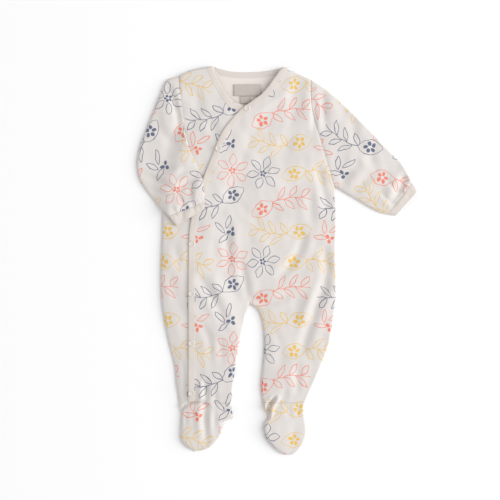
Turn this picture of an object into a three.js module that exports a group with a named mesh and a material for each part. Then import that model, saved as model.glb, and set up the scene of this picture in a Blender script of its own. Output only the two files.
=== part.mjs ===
// Footed baby sleepsuit with a wrap front, laid flat on its back, arms and legs as it was put down.
// Millimetres, +Z up. The garment's own frame has x = 0 on the centre line, y = 0 at the crotch
// and +y towards the neck. Left and right are as seen from above with the neck up.
import * as THREE from "three";

// Cloth
const WALL = 1.6;            // thickness of one layer of cloth
const SEAM = 0.3;            // clearance between two pieces at a seam
const EDGE_HEIGHT = 3.5;     // height of the garment where the front folds down to the back
const CROWN = 6.8;           // height of the garment well inside its edges
const EDGE_SOFTNESS = 7;     // distance over which the front rises from edge to crown

// Wrap, bindings and poppers
const BAND = 9;              // width of the plain bindings
const OVERLAP = 22;          // how far the under-front runs beneath the wrap edge
const LAP_LIFT = 2.6;        // how much the over-front is lifted by the under-front
const LAP_FULL = 31;         // distance from the wrap edge over which that lift is whole
const LAP_FADE = 20;         // distance over which it dies away
const NECK_OPENS = 278;      // above this y nothing lies under the wrap edge
const POPPER_RADIUS = 4.6;
const POPPER_HEIGHT = 1.5;
const POPPER_SPACING = 69.5;
const POPPER_COUNT = 7;
const FIRST_POPPER_Y = 274.5;

// Sleeves and feet
const BOWED_SECTIONS = 6;    // sections over which a sleeve straightens out from its armhole
const FOREARM_THICKNESS = 5.4;
const REST_GAP = 1;          // clearance between the forearm and what it lies on
const STEP_FULL = 8;         // the forearm keeps its height this far outside the body's edge
const STEP_RAMP = 9;         // and then comes down to the surface over this distance
const FOOT_CROWN = 8.6;
const FOOT_WALL = 2.4;
const SOLE = 2.2;
const FOOT_EDGE = SOLE + SEAM + FOOT_WALL;
const ANKLE_Y = -137;

// Label
const LABEL = { width: 38, height: 16, thickness: 0.8, x: -1, y: 300.5 };
const SIZE_TAB = { width: 14, height: 9, thickness: 0.6, x: -4, y: 287.6 };

const COLOURS = {
  print: 0xf1e8df,
  plain: 0xf0e1d6,
  label: 0xa89c93,
  popper: 0xf3e9df,
};

// Edges that run up the garment, as "y x" rows from the ankle upwards
const LEFT_SIDE = [
  [-137, -95.5], [-112, -100], [-84, -103], [-56, -110], [-28, -116], [1.5, -120.5],
  [35, -122], [70, -121.3], [112, -119.8], [140, -119.8], [166.5, -119.3],
];
const LEFT_ARMHOLE = [[166.5, -119.3], [203, -101.5], [239.5, -90], [266, -91], [292.5, -94.5], [320.5, -95]];
const LEFT_SHOULDER = [[320.5, -95], [327, -81], [330.5, -67], [332.3, -57.5], [334.6, -50.4]];
const RIGHT_SIDE = [
  [-137, 78.5], [-112, 90], [-84, 102], [-56, 112.5], [-28, 117.5], [1.5, 122], [35, 123.2],
  [70, 122], [112, 122.8], [140, 122.2], [166.5, 120.5],
];
const RIGHT_ARMHOLE = [[166.5, 120.5], [196, 112], [224, 103.5], [248, 96.5], [270, 90.5], [292.5, 88], [315, 88]];
const RIGHT_SHOULDER = [[315, 88], [322, 73], [328.3, 59], [333.2, 50.4]];
const LEFT_INSEAM = [[-137, -24], [-112, -21], [-84, -17.5], [-56, -12.5], [-28, -7], [-10, -3], [1.5, 2]];
const RIGHT_INSEAM = [[-137, 20], [-112, 18], [-84, 20.5], [-56, 22.5], [-28, 20.5], [-10, 15.5], [-3, 9.5], [1.5, 2]];
const WRAP_EDGE = [
  [-137, -83.5], [-63, -83.3], [7, -83.3], [77, -82.9], [102, -81.9], [122, -79.1], [140, -74.2],
  [158, -68.6], [176.5, -63], [203, -52.5], [221, -45.5], [236.5, -39], [248, -32], [258, -24],
  [269.5, -14], [278, -4.2], [285, 5.6], [293.5, 17], [305, 28], [316.5, 36.4], [326, 43.4], [333.2, 50.4],
];
const UNDER_NECK_EDGE = [
  [270, 9], [277.5, -4.2], [282, -15.4], [291, -26.6], [305, -36.4], [320.5, -44.8], [334.6, -50.4],
];

// Back neckline, as "x y" rows
const BACK_NECK = [[-50.4, 334.6], [-39, 330.4], [-22.5, 326.7], [0, 325.8], [22.5, 327], [38, 329.8], [50.4, 333.2]];

// Sleeves, one row a section: the outer edge's x y, then the inner edge's x y
const RIGHT_SLEEVE = [
  [88, 315, 120.5, 166.5], [105, 304, 129, 161], [122.5, 290, 138.5, 155], [140.5, 273.5, 147.5, 150],
  [158.5, 255.5, 157, 144.3], [176.5, 237, 166.5, 138.5], [195.5, 216.8, 175.5, 133.5],
  [215, 197, 185, 129], [229.6, 171, 194.6, 127],
];
const RIGHT_CUFF = [[229.8, 170.6, 195, 126.8], [233.8, 165, 201, 125.8], [236.6, 158.5, 206.8, 125.2]];
const LEFT_SLEEVE = [
  [-95, 320.5, -90, 239.5], [-114, 313.8, -86.5, 230], [-123.2, 294, -83, 221], [-132.5, 271.5, -79, 212],
  [-142, 247, -75, 204], [-151, 223, -71.5, 196], [-155.4, 199, -67.5, 187], [-152.6, 178, -64, 178.5],
  [-143, 161.5, -62.3, 170], [-128, 142.5, -61.6, 158], [-110.7, 124, -60.2, 143.8],
];
const LEFT_CUFF = [[-110.4, 123.6, -60.2, 143.4], [-105.5, 117, -60.4, 138.5], [-100, 110.6, -60.9, 133.7]];

// Feet, one row a section from ankle to toe: the left edge's x y, then the right edge's x y
const LEFT_FOOT = [
  [-95.5, -137.3, -56, -137.3], [-93.5, -148.4, -47.6, -146], [-93.5, -158, -38, -160],
  [-94.5, -172, -36.8, -171], [-93.8, -185, -40.6, -182], [-88.2, -196, -47.6, -193.2],
  [-80, -201.5, -57.4, -201], [-73, -203.4, -66, -203.4],
];
const LEFT_HEEL = [
  [-55.6, -137.3, -24, -137.3], [-47.1, -145.8, -22.7, -147], [-40.8, -155.2, -24, -157],
  [-37.4, -160.6, -32, -161.6],
];
const RIGHT_FOOT = [
  [20, -137.3, 78.5, -137.3], [22.8, -144.2, 77.4, -145.6], [27.7, -156.8, 78.7, -156.8],
  [23.8, -163.5, 80.2, -165], [21.4, -171, 81.2, -175], [23.1, -181, 80, -184], [28, -190.5, 76, -194],
  [35.4, -199, 71.5, -202], [44.8, -205.8, 65.8, -207], [54, -209.4, 58.5, -209.4],
];

// Largest folds: the line they follow, their half width and their height, negative for a trough
const FOLDS = [
  { at: "belly", line: [[-28, 106], [-28, 56]], width: 8, height: -1.1 },
  { at: "hip right of the middle", line: [[76, 90], [67, 70], [48, 45]], width: 8, height: -1.2 },
  { at: "left hip to crotch", line: [[-64, 33], [-50, 13], [-36, -16]], width: 9, height: -1.2 },
  { at: "above the crotch", line: [[-7, 50], [-1.5, 18]], width: 8, height: -0.9 },
  { at: "pleat out of the crotch", line: [[0, 12], [14, 4], [49, 7]], width: 7, height: -1.3 },
  { at: "right thigh", line: [[108, 24], [98, 7], [90, -14], [77, -56]], width: 9, height: -1.5 },
  { at: "right shin", line: [[70, -86], [68.5, -114]], width: 8, height: -1 },
  { at: "below the right armhole", line: [[98, 186], [105, 161], [112, 138]], width: 8, height: -1.1 },
  { at: "right of the chest", line: [[88, 156], [88, 124]], width: 9, height: -0.9 },
  { at: "right side", line: [[107, 72], [109, 42], [102, 20]], width: 9, height: -1.2 },
  { at: "left ankle", line: [[-59, -108], [-59, -150]], width: 7, height: -1 },
  { at: "left instep", line: [[-60, -158], [-59, -190]], width: 7, height: -1.3 },
  { at: "right ankle tuck", line: [[25, -136], [31, -158]], width: 7, height: -1.6 },
  { at: "right wrist", line: [[218, 178], [213, 161], [201, 143]], width: 8, height: -1.2 },
  { at: "right armhole", line: [[93, 282], [93, 248]], width: 7, height: -1.1 },
  { at: "left sleeve head", line: [[-113, 309], [-105, 287], [-98, 260]], width: 7, height: -1.2 },
  { at: "left elbow", line: [[-143, 172], [-124, 168], [-106, 160]], width: 8, height: -1.2 },
];

const lerp = THREE.MathUtils.lerp;
const smoothstep = THREE.MathUtils.smoothstep;

// A smooth function through a table's rows, from its first column to its second
function along(table) {
  const slopes = table.map((row, i) => {
    const before = table[Math.max(i - 1, 0)];
    const after = table[Math.min(i + 1, table.length - 1)];
    return (after[1] - before[1]) / (after[0] - before[0]);
  });
  return (at) => {
    const last = table.length - 2;
    let i = table.findIndex((row) => row[0] > at) - 1;
    if (i < 0) i = at < table[0][0] ? 0 : last;
    const [start, from] = table[i];
    const [end, to] = table[i + 1];
    const span = end - start;
    const t = THREE.MathUtils.clamp((at - start) / span, 0, 1);
    const rest = 1 - t;
    return from * rest * rest * (1 + 2 * t) + to * t * t * (3 - 2 * t)
      + span * t * rest * (slopes[i] * rest - slopes[i + 1] * t);
  };
}

// Rows of a section table with smooth rows worked out between them
function refine(table, steps) {
  const columns = table[0].map((_, c) => along(table.map((row, i) => [i, row[c]])));
  const count = (table.length - 1) * steps;
  return Array.from({ length: count + 1 }, (_, i) => columns.map((column) => column(i / steps)));
}

const leftSide = along([...LEFT_SIDE, ...LEFT_ARMHOLE.slice(1)]);
const leftShoulder = along(LEFT_SHOULDER);
const rightSide = along([...RIGHT_SIDE, ...RIGHT_ARMHOLE.slice(1)]);
const rightShoulder = along(RIGHT_SHOULDER);
const leftInseam = along(LEFT_INSEAM);
const rightInseam = along(RIGHT_INSEAM);
const wrapEdge = along(WRAP_EDGE);
const underNeckEdge = along(UNDER_NECK_EDGE);
const backNeck = along(BACK_NECK);

const UNDERARM_Y = LEFT_SIDE.at(-1)[0];
const LEFT_SHOULDER_Y = LEFT_SHOULDER[0][0];
const RIGHT_SHOULDER_Y = RIGHT_SHOULDER[0][0];
const NECK_CORNER_Y = WRAP_EDGE.at(-1)[0];
const UNDER_CORNER_Y = UNDER_NECK_EDGE.at(-1)[0];
const CROTCH_Y = LEFT_INSEAM.at(-1)[0];
const CORNER = LEFT_ARMHOLE[2];     // where the left sleeve folds over and leaves the armhole

// How far a band of the given width reaches sideways where its edge runs at a slant
function sideways(edge, y, width) {
  const slope = (edge(y + 1) - edge(y - 1)) / 2;
  return width * Math.hypot(1, slope);
}

const outerLeft = (y) => (y > LEFT_SHOULDER_Y ? leftShoulder(y) : leftSide(y));
const outerRight = (y) => (y > RIGHT_SHOULDER_Y ? rightShoulder(y) : rightSide(y));
const wrapBandEdge = (y) => wrapEdge(y) + sideways(wrapEdge, y, BAND);
const underBandEdge = (y) => underNeckEdge(y) - sideways(underNeckEdge, y, BAND);

// Plan lines where the cloth folds from front to back
const flip = (table) => table.map(([y, x]) => [x, y]);
const outerLine = (table) => table.map((row) => [row[0], row[1]]);
const innerLine = (table) => table.map((row) => [row[2], row[3]]);
const COVERED_EDGE = flip([...LEFT_SIDE.slice(-4), ...LEFT_ARMHOLE.slice(1, 3)]);
const BODY_FOLDS = [
  flip([...LEFT_SIDE, ...LEFT_ARMHOLE.slice(1, 3)]),
  flip(LEFT_SHOULDER),
  flip(RIGHT_SIDE),
  flip([...LEFT_INSEAM, ...RIGHT_INSEAM.slice(0, -1).reverse()]),
  [...flip(RIGHT_SHOULDER).reverse(), ...outerLine(RIGHT_SLEEVE), ...outerLine(RIGHT_CUFF)],
  [...innerLine(RIGHT_SLEEVE), ...innerLine(RIGHT_CUFF)],
];
const LEFT_SLEEVE_FOLDS = [
  [...outerLine(LEFT_SLEEVE), ...outerLine(LEFT_CUFF)],
  [...innerLine(LEFT_SLEEVE), ...innerLine(LEFT_CUFF)],
];
const LEFT_FOOT_LINES = [outerLine(LEFT_FOOT), [...innerLine(LEFT_HEEL), ...innerLine(LEFT_FOOT).slice(3)]];
const RIGHT_FOOT_LINES = [outerLine(RIGHT_FOOT), innerLine(RIGHT_FOOT)];

function distanceToLine(line, x, y) {
  let nearest = Infinity;
  for (let i = 0; i + 1 < line.length; i++) {
    const [ax, ay] = line[i];
    const [bx, by] = line[i + 1];
    const length = (bx - ax) ** 2 + (by - ay) ** 2 || 1;
    const t = THREE.MathUtils.clamp(((x - ax) * (bx - ax) + (y - ay) * (by - ay)) / length, 0, 1);
    nearest = Math.min(nearest, Math.hypot(x - lerp(ax, bx, t), y - lerp(ay, by, t)));
  }
  return nearest;
}

const distanceTo = (lines, x, y) => Math.min(...lines.map((line) => distanceToLine(line, x, y)));
const rise = (distance, softness) => 1 - Math.exp(-distance / softness);

function foldHeight(x, y) {
  let sum = 0;
  for (const { line, width, height } of FOLDS) sum += height * Math.exp(-((distanceToLine(line, x, y) / width) ** 2));
  return sum;
}

// Heights of the top face of each layer
function frontTop(x, y) {
  const distance = distanceTo(BODY_FOLDS, x, y);
  return EDGE_HEIGHT + (CROWN - EDGE_HEIGHT + foldHeight(x, y)) * rise(distance, EDGE_SOFTNESS);
}

function lapLift(x, y) {
  const beyond = x - wrapEdge(y);
  const across = 1 - smoothstep(beyond, LAP_FULL, LAP_FULL + LAP_FADE);
  const up = 1 - 0.7 * smoothstep(y, NECK_OPENS, NECK_OPENS + 25);
  return LAP_LIFT * across * up * rise(distanceTo(BODY_FOLDS, x, y), EDGE_SOFTNESS / 2);
}

const overFrontTop = (x, y) => frontTop(x, y) + lapLift(x, y);
const bindingTop = (x, y) => overFrontTop(x, y) + SEAM;

function footTop(folds) {
  return (x, y) => {
    const distance = distanceTo(folds, x, y);
    const crown = lerp(CROWN, FOOT_CROWN, smoothstep(-y, -ANKLE_Y, -ANKLE_Y + 25));
    return FOOT_EDGE + (crown - FOOT_EDGE + foldHeight(x, y)) * rise(distance, EDGE_SOFTNESS);
  };
}

// What the forearm lies on: the fronts, the binding and the popper it hides, and beside them the surface
function insideBody(x, y) {
  return y < CORNER[0] && x > leftSide(y) && x < rightSide(y);
}

function forearmRest(x, y) {
  const outside = insideBody(x, y) ? 0 : distanceToLine(COVERED_EDGE, x, y);
  const held = 1 - smoothstep(outside, STEP_FULL, STEP_FULL + STEP_RAMP);
  const nearWrap = smoothstep(x - wrapEdge(y), -14, -4);
  const overPopper = Math.exp(-((Math.hypot(x - HIDDEN_POPPER.x, y - HIDDEN_POPPER.y) / 16) ** 2));
  const lap = nearWrap * (LAP_LIFT + SEAM) + overPopper * (POPPER_HEIGHT + 0.8);
  return held * (frontTop(x, y) + lap + REST_GAP);
}

function forearmTop(x, y) {
  const distance = distanceTo(LEFT_SLEEVE_FOLDS, x, y);
  const thickness = lerp(FOREARM_THICKNESS, CROWN, smoothstep(y, 215, 250)) + foldHeight(x, y);
  return forearmRest(x, y) + EDGE_HEIGHT + (thickness - EDGE_HEIGHT) * rise(distance, EDGE_SOFTNESS);
}

// A closed solid from its corners and triangles, turned so that its faces point out
function solid(corners, triangles) {
  let volume = 0;
  for (const [a, b, c] of triangles) {
    volume += new THREE.Vector3().crossVectors(corners[a], corners[b]).dot(corners[c]);
  }
  const order = volume < 0 ? triangles.map(([a, b, c]) => [a, c, b]) : triangles;
  const geometry = new THREE.BufferGeometry().setFromPoints(corners);
  geometry.setIndex(order.flat());
  geometry.computeVertexNormals();
  return geometry;
}

// Points across a row, closer together near the ends that fold over
function fractions(count, softStart, softEnd) {
  return Array.from({ length: count + 1 }, (_, i) => {
    const t = i / count;
    if (softStart && softEnd) return lerp(t, (1 - Math.cos(Math.PI * t)) / 2, 0.8);
    if (softStart) return lerp(t, 1 - Math.cos((Math.PI * t) / 2), 0.8);
    if (softEnd) return lerp(t, Math.sin((Math.PI * t) / 2), 0.8);
    return t;
  });
}

// A plan grid of x y points between two edges that are functions of y
function strip(levels, startEdge, endEdge, across) {
  return levels.map((y) => across.map((u) => [lerp(startEdge(y), endEdge(y), u), y]));
}

// A plan grid of x y points between the two edges of a section table
function sectionGrid(rows, across) {
  return rows.map(([ax, ay, bx, by]) => across.map((u) => [lerp(ax, bx, u), lerp(ay, by, u)]));
}

// A wall of cloth over plan grids. Grids that share an edge become one piece.
function clothWall(grids, top, thickness) {
  const plan = [];
  const numbers = new Map();
  const triangles = [];
  const number = ([x, y]) => {
    const key = `${x.toFixed(2)},${y.toFixed(2)}`;
    if (!numbers.has(key)) numbers.set(key, plan.push([x, y]) - 1);
    return numbers.get(key);
  };
  for (const grid of grids) {
    for (let r = 0; r + 1 < grid.length; r++) {
      for (let c = 0; c + 1 < grid[r].length; c++) {
        const [a, b] = [number(grid[r][c]), number(grid[r][c + 1])];
        const [d, e] = [number(grid[r + 1][c]), number(grid[r + 1][c + 1])];
        for (const triangle of [[a, b, e], [a, e, d]]) {
          if (new Set(triangle).size === 3) triangles.push(triangle);
        }
      }
    }
  }
  const heights = plan.map(([x, y]) => top(x, y));
  const upper = plan.map(([x, y], i) => new THREE.Vector3(x, y, heights[i]));
  const lower = plan.map(([x, y], i) => new THREE.Vector3(x, y, heights[i] - thickness));
  const count = plan.length;
  const edges = new Set(triangles.flatMap(([a, b, c]) => [`${a} ${b}`, `${b} ${c}`, `${c} ${a}`]));
  const rim = [];
  for (const edge of edges) {
    const [a, b] = edge.split(" ").map(Number);
    if (edges.has(`${b} ${a}`)) continue;
    rim.push([b, a, a + count], [b, a + count, b + count]);
  }
  const under = triangles.map(([a, b, c]) => [a + count, c + count, b + count]);
  return solid([...upper, ...lower], [...triangles, ...under, ...rim]);
}

// Sections of a tube, as functions of the fraction across. The first ones bend to the armhole's curve.
function tubeSections(table, steps, armhole) {
  const rows = refine(table, steps);
  const [firstX, firstY, lastX, lastY] = rows[0];
  return rows.map(([ax, ay, bx, by], r) => (u) => {
    const bow = armhole ? armhole(lerp(firstY, lastY, u)) - lerp(firstX, lastX, u) : 0;
    return [lerp(ax, bx, u) + bow * (1 - smoothstep(r, 0, BOWED_SECTIONS)), lerp(ay, by, u)];
  });
}

// A flattened tube of cloth along its sections, open at both ends
function clothTube(sections, across, bottom, top) {
  const rings = sections.map((at) => {
    const [start, end] = [at(0), at(1)];
    const inset = WALL / Math.hypot(end[0] - start[0], end[1] - start[1]);
    const outer = across.map(at);
    const inner = across.map((u) => at(lerp(inset, 1 - inset, u)));
    const over = ([x, y]) => new THREE.Vector3(x, y, top(x, y));
    const below = ([x, y]) => new THREE.Vector3(x, y, bottom(x, y));
    const lining = ([x, y]) => new THREE.Vector3(x, y, top(x, y) - WALL);
    const floor = ([x, y]) => new THREE.Vector3(x, y, bottom(x, y) + WALL);
    return {
      outside: [...outer.map(over), ...outer.map(below).reverse()],
      inside: [...inner.map(lining), ...inner.map(floor).reverse()],
    };
  });
  const size = rings[0].outside.length;
  const corners = rings.flatMap((ring) => [...ring.outside, ...ring.inside]);
  const triangles = [];
  const quad = (a, b, c, d) => triangles.push([a, b, c], [a, c, d]);
  for (let r = 0; r < rings.length; r++) {
    const here = r * 2 * size;
    const next = here + 2 * size;
    for (let i = 0; i < size; i++) {
      const j = (i + 1) % size;
      if (r + 1 < rings.length) {
        quad(here + i, next + i, next + j, here + j);
        quad(here + size + j, next + size + j, next + size + i, here + size + i);
      }
      if (r === 0) quad(here + j, here + size + j, here + size + i, here + i);
      if (r === rings.length - 1) quad(here + i, here + size + i, here + size + j, here + j);
    }
  }
  return solid(corners, triangles);
}

// A flat plate of cloth inside an outline of x y points, resting on the surface
function flatPlate(outline, thickness) {
  const shape = new THREE.Shape(outline.map(([x, y]) => new THREE.Vector2(x, y)));
  return new THREE.ExtrudeGeometry(shape, { depth: thickness, bevelEnabled: false });
}

// Levels from one y to another, evenly spaced at about the given step, passing through the stops
function levels(from, to, step, stops = []) {
  const marks = [from, ...stops.filter((stop) => stop > from && stop < to), to].sort((a, b) => a - b);
  const out = [from];
  for (let i = 0; i + 1 < marks.length; i++) {
    const count = Math.max(1, Math.round((marks[i + 1] - marks[i]) / step));
    for (let k = 1; k <= count; k++) out.push(lerp(marks[i], marks[i + 1], k / count));
  }
  return out;
}

const NECK_XS = levels(BACK_NECK[0][0], BACK_NECK.at(-1)[0], 7).slice(1, -1);
const STOPS = [-28, -10, -3, CROTCH_Y, UNDERARM_Y, CORNER[0], RIGHT_SHOULDER_Y, LEFT_SHOULDER_Y];
const sampled = (edge, from, to, step) => levels(from, to, step, STOPS).map((y) => [edge(y), y]);

// Back: torso and both legs in one flat piece
function backOutline() {
  const neck = NECK_XS.map((x) => [x, backNeck(x) - neckBandWidth(x) - SEAM]);
  return [
    ...sampled(rightInseam, ANKLE_Y, CROTCH_Y, 14).reverse(),
    ...sampled(outerRight, ANKLE_Y, NECK_CORNER_Y, 14),
    ...neck.reverse(),
    ...sampled(outerLeft, ANKLE_Y, UNDER_CORNER_Y, 14).reverse(),
    ...sampled(leftInseam, ANKLE_Y, CROTCH_Y, 14).slice(0, -1),
  ];
}

// The back neck binding narrows where it runs into the shoulder seams
function neckBandWidth(x) {
  return BAND * (1 - smoothstep(Math.abs(x), 36, 49.5));
}

function neckBindingGeometry() {
  const upper = NECK_XS.map((x) => [x, backNeck(x)]);
  const lower = NECK_XS.map((x) => [x, backNeck(x) - neckBandWidth(x)]);
  return flatPlate([...lower, ...upper.reverse()], WALL + SEAM);
}

// Over-front: from the wrap binding to the right side, with the right leg and most of the left leg
const OVER_TIP_Y = 326.5;
const LEG_LEVELS = levels(ANKLE_Y, CROTCH_Y, 11, STOPS);
const TORSO_LEVELS = levels(CROTCH_Y, OVER_TIP_Y, 10.5, STOPS);
const OVER_MIDDLE = along([[CROTCH_Y, 2], [80, 2], [200, 20], [RIGHT_SHOULDER_Y, 66], [OVER_TIP_Y, 60.5]]);

function overFrontGeometry() {
  const start = (y) => wrapBandEdge(y) + SEAM;
  const leg = fractions(8, false, true);
  return clothWall([
    strip(LEG_LEVELS, start, leftInseam, leg),
    strip(LEG_LEVELS, rightInseam, outerRight, fractions(9, true, true)),
    strip(TORSO_LEVELS, start, OVER_MIDDLE, leg),
    strip(TORSO_LEVELS, OVER_MIDDLE, outerRight, fractions(9, true, true)),
  ], overFrontTop, WALL);
}

// Under-front: the left strip, running on beneath the wrap
const UNDER_TIP_Y = 331;

function underFrontGeometry() {
  const corner = UNDER_NECK_EDGE[0][0];
  const hidden = (y) => wrapEdge(y) + OVERLAP;
  const edge = (y) => (y < corner ? Math.min(hidden(y), underNeckEdge(corner)) : underBandEdge(y) - SEAM);
  const rows = levels(ANKLE_Y, UNDER_TIP_Y, 11, [...STOPS, corner]);
  return clothWall([strip(rows, outerLeft, edge, fractions(8, true, false))], frontTop, WALL);
}

// Bindings: the wrap edge from ankle to shoulder, and the under-front's neck edge
function wrapBindingGeometry() {
  const rows = [...LEG_LEVELS, ...TORSO_LEVELS.slice(1), ...levels(OVER_TIP_Y, NECK_CORNER_Y - 0.6, 3).slice(1)];
  const end = (y) => Math.min(wrapBandEdge(y), outerRight(y));
  return clothWall([strip(rows, wrapEdge, end, [0, 0.5, 1])], bindingTop, WALL + SEAM);
}

function underBindingGeometry() {
  const rows = levels(UNDER_NECK_EDGE[0][0] + 6, UNDER_CORNER_Y - 0.6, 7);
  const start = (y) => Math.max(underBandEdge(y), outerLeft(y));
  return clothWall([strip(rows, start, underNeckEdge, [0, 0.5, 1])], frontTop, WALL);
}

// Sleeves start at the armholes, and the cuffs carry them on
function rightSleeveGeometry() {
  const sections = tubeSections(RIGHT_SLEEVE, 2, (y) => rightSide(y) + SEAM);
  return clothTube(sections, fractions(9, true, true), () => 0, frontTop);
}

function leftSleeveGeometry() {
  const sections = tubeSections(LEFT_SLEEVE, 2, (y) => leftSide(y) - SEAM);
  return clothTube(sections, fractions(10, true, true), forearmRest, forearmTop);
}

function rightCuffGeometry() {
  return clothTube(tubeSections(RIGHT_CUFF, 1), fractions(6, true, true), () => 0, frontTop);
}

function leftCuffGeometry() {
  return clothTube(tubeSections(LEFT_CUFF, 1), fractions(6, true, true), forearmRest, forearmTop);
}

// Feet: an upper over a flat sole, and at the left ankle the heel turned out to the side
function footGeometry(table, folds) {
  return clothWall([sectionGrid(refine(table, 2).reverse(), fractions(9, true, true))], footTop(folds), FOOT_WALL);
}

function soleGeometry(leftLine, rightLine) {
  return flatPlate([...leftLine, ...[...rightLine].reverse()], SOLE);
}

// A popper's cap: a flat disc with a raised rim
function popperGeometry() {
  const profile = [
    [0, 0], [POPPER_RADIUS, 0], [POPPER_RADIUS, 0.6 * POPPER_HEIGHT], [0.75 * POPPER_RADIUS, POPPER_HEIGHT],
    [0.5 * POPPER_RADIUS, 0.65 * POPPER_HEIGHT], [0, 0.65 * POPPER_HEIGHT],
  ].map(([radius, height]) => new THREE.Vector2(radius, height));
  return new THREE.LatheGeometry(profile, 12).rotateX(Math.PI / 2);
}

// Places along the middle of the wrap binding, a popper spacing apart
function popperPlaces() {
  const middle = (y) => wrapEdge(y) + sideways(wrapEdge, y, BAND / 2);
  const places = [];
  let travelled = POPPER_SPACING;
  for (let y = FIRST_POPPER_Y; places.length < POPPER_COUNT; y -= 0.25) {
    if (travelled >= POPPER_SPACING) {
      places.push({ x: middle(y), y });
      travelled = 0;
    }
    travelled += Math.hypot(0.25, middle(y) - middle(y - 0.25));
  }
  return places;
}

const POPPERS = popperPlaces();
const HIDDEN_POPPER = POPPERS[2];

const sleepsuit = new THREE.Group();

function piece(name, geometry, colour, roughness = 0.95) {
  const material = new THREE.MeshStandardMaterial({ color: colour, roughness, metalness: 0 });
  const mesh = new THREE.Mesh(geometry, material);
  mesh.name = name;
  sleepsuit.add(mesh);
  return mesh;
}

piece("back", flatPlate(backOutline(), WALL), COLOURS.print);
piece("over_front", overFrontGeometry(), COLOURS.print);
piece("under_front", underFrontGeometry(), COLOURS.print);
piece("left_sleeve", leftSleeveGeometry(), COLOURS.print);
piece("right_sleeve", rightSleeveGeometry(), COLOURS.print);
piece("left_cuff", leftCuffGeometry(), COLOURS.plain);
piece("right_cuff", rightCuffGeometry(), COLOURS.plain);
piece("left_foot", footGeometry(LEFT_FOOT, LEFT_FOOT_LINES), COLOURS.print);
piece("left_heel", footGeometry(LEFT_HEEL, LEFT_FOOT_LINES), COLOURS.print);
piece("left_sole", soleGeometry(...LEFT_FOOT_LINES), COLOURS.print);
piece("right_foot", footGeometry(RIGHT_FOOT, RIGHT_FOOT_LINES), COLOURS.print);
piece("right_sole", soleGeometry(...RIGHT_FOOT_LINES), COLOURS.print);
piece("wrap_binding", wrapBindingGeometry(), COLOURS.plain);
piece("under_binding", underBindingGeometry(), COLOURS.plain);
piece("neck_binding", neckBindingGeometry(), COLOURS.plain);

for (const [name, { width, height, thickness, x, y }] of [["label", LABEL], ["size_tab", SIZE_TAB]]) {
  const mesh = piece(name, new THREE.BoxGeometry(width, height, thickness), COLOURS.label, 0.8);
  mesh.position.set(x, y, WALL + SEAM + thickness / 2);
}

POPPERS.forEach(({ x, y }, i) => {
  const mesh = piece(`popper_${i + 1}`, popperGeometry(), COLOURS.popper, 0.45);
  mesh.position.set(x, y, bindingTop(x, y) + SEAM);
});

// The origin goes to the middle of the garment's footprint
const footprint = new THREE.Box3().setFromObject(sleepsuit).getCenter(new THREE.Vector3());
sleepsuit.position.set(-footprint.x, -footprint.y, 0);

export default sleepsuit;
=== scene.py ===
# Looks of a footed baby sleepsuit with a wrap front, laid flat on a pale surface.
# The shapes are worked out in millimetres in the garment's own frame: x = 0 on the centre line,
# y = 0 at the crotch and +y towards the neck. place() moves them into the model's frame in metres.
import math

import bpy
import numpy as np
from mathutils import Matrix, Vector


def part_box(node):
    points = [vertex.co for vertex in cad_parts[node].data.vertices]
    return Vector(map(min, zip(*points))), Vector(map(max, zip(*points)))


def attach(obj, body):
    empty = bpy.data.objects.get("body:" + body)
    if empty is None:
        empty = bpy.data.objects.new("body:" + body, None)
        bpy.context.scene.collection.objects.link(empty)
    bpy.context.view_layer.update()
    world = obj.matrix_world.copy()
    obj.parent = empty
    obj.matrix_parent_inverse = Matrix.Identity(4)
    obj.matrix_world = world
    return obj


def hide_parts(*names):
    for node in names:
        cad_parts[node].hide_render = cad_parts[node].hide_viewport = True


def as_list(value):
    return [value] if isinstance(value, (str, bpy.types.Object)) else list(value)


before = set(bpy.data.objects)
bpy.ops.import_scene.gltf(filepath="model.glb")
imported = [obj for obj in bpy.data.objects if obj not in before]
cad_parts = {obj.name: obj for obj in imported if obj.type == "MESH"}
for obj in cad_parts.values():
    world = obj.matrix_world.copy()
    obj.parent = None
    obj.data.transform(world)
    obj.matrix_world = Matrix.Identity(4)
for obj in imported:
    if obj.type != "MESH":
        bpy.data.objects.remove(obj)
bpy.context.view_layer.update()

# Cloth, as in the model
WALL = 1.4
TUBE_WALL = 0.9  # the sleeves are pressed flat, so their walls are thinner
GAP = 0.3
SEAM_HEIGHT = 1.9
LINING_HEIGHT = 1.45  # the fronts' inner face stays above the back's
EDGE_HEIGHT = 4.5
CROWN = 7.3
SLACK_EDGE = (13, 3.8)  # how far the left-facing edges fall away, and their rounding
CRISP_EDGE = (0.4, 0.8)  # the same for the edges that face right
BACK_WALL = 1.2
BACK_ROUND = 3.2
BAND = 9
BAND_THICKNESS = 2
BAND_SINK = 1.8
NECK_BAND_THICKNESS = 1.3
STITCH_LINE = BAND - 1.5  # from the free edge
UNDER_BAND = 0.55  # share of a band's width where the panel under it ends
BAND_GIRTH = BAND + BAND_THICKNESS  # half way round a folded band
OVERLAP = 22
LAP_LIFT = 2.3
LAP_FULL = 27
LAP_FADE = 20
LEG_LAP = 62  # the over-front stays lifted across the whole left leg
LEG_TILT = 0.062  # slope of the left leg's top, down to its outer side
LEG_MIDDLE = -78  # x where that slope changes nothing
FOOT_TILT = 0.07  # slope of the right foot's top, down to the right
NECK_OPENS = 278
NECK_HALF = 50.4  # x where the neck meets the shoulders
NECK_BAND_END = (36, 49.5)  # x over which the neck binding narrows to nothing
ANKLE_Y = -137
RELIEF = 1.55
FOOT_CROWN = 9.2
TUCK = 1.5
SOLE_HEIGHT = 2.4
FOOT_WALL = 1.8
TURN_DOWN = 4  # how far the feet's cut goes on down their sides

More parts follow.
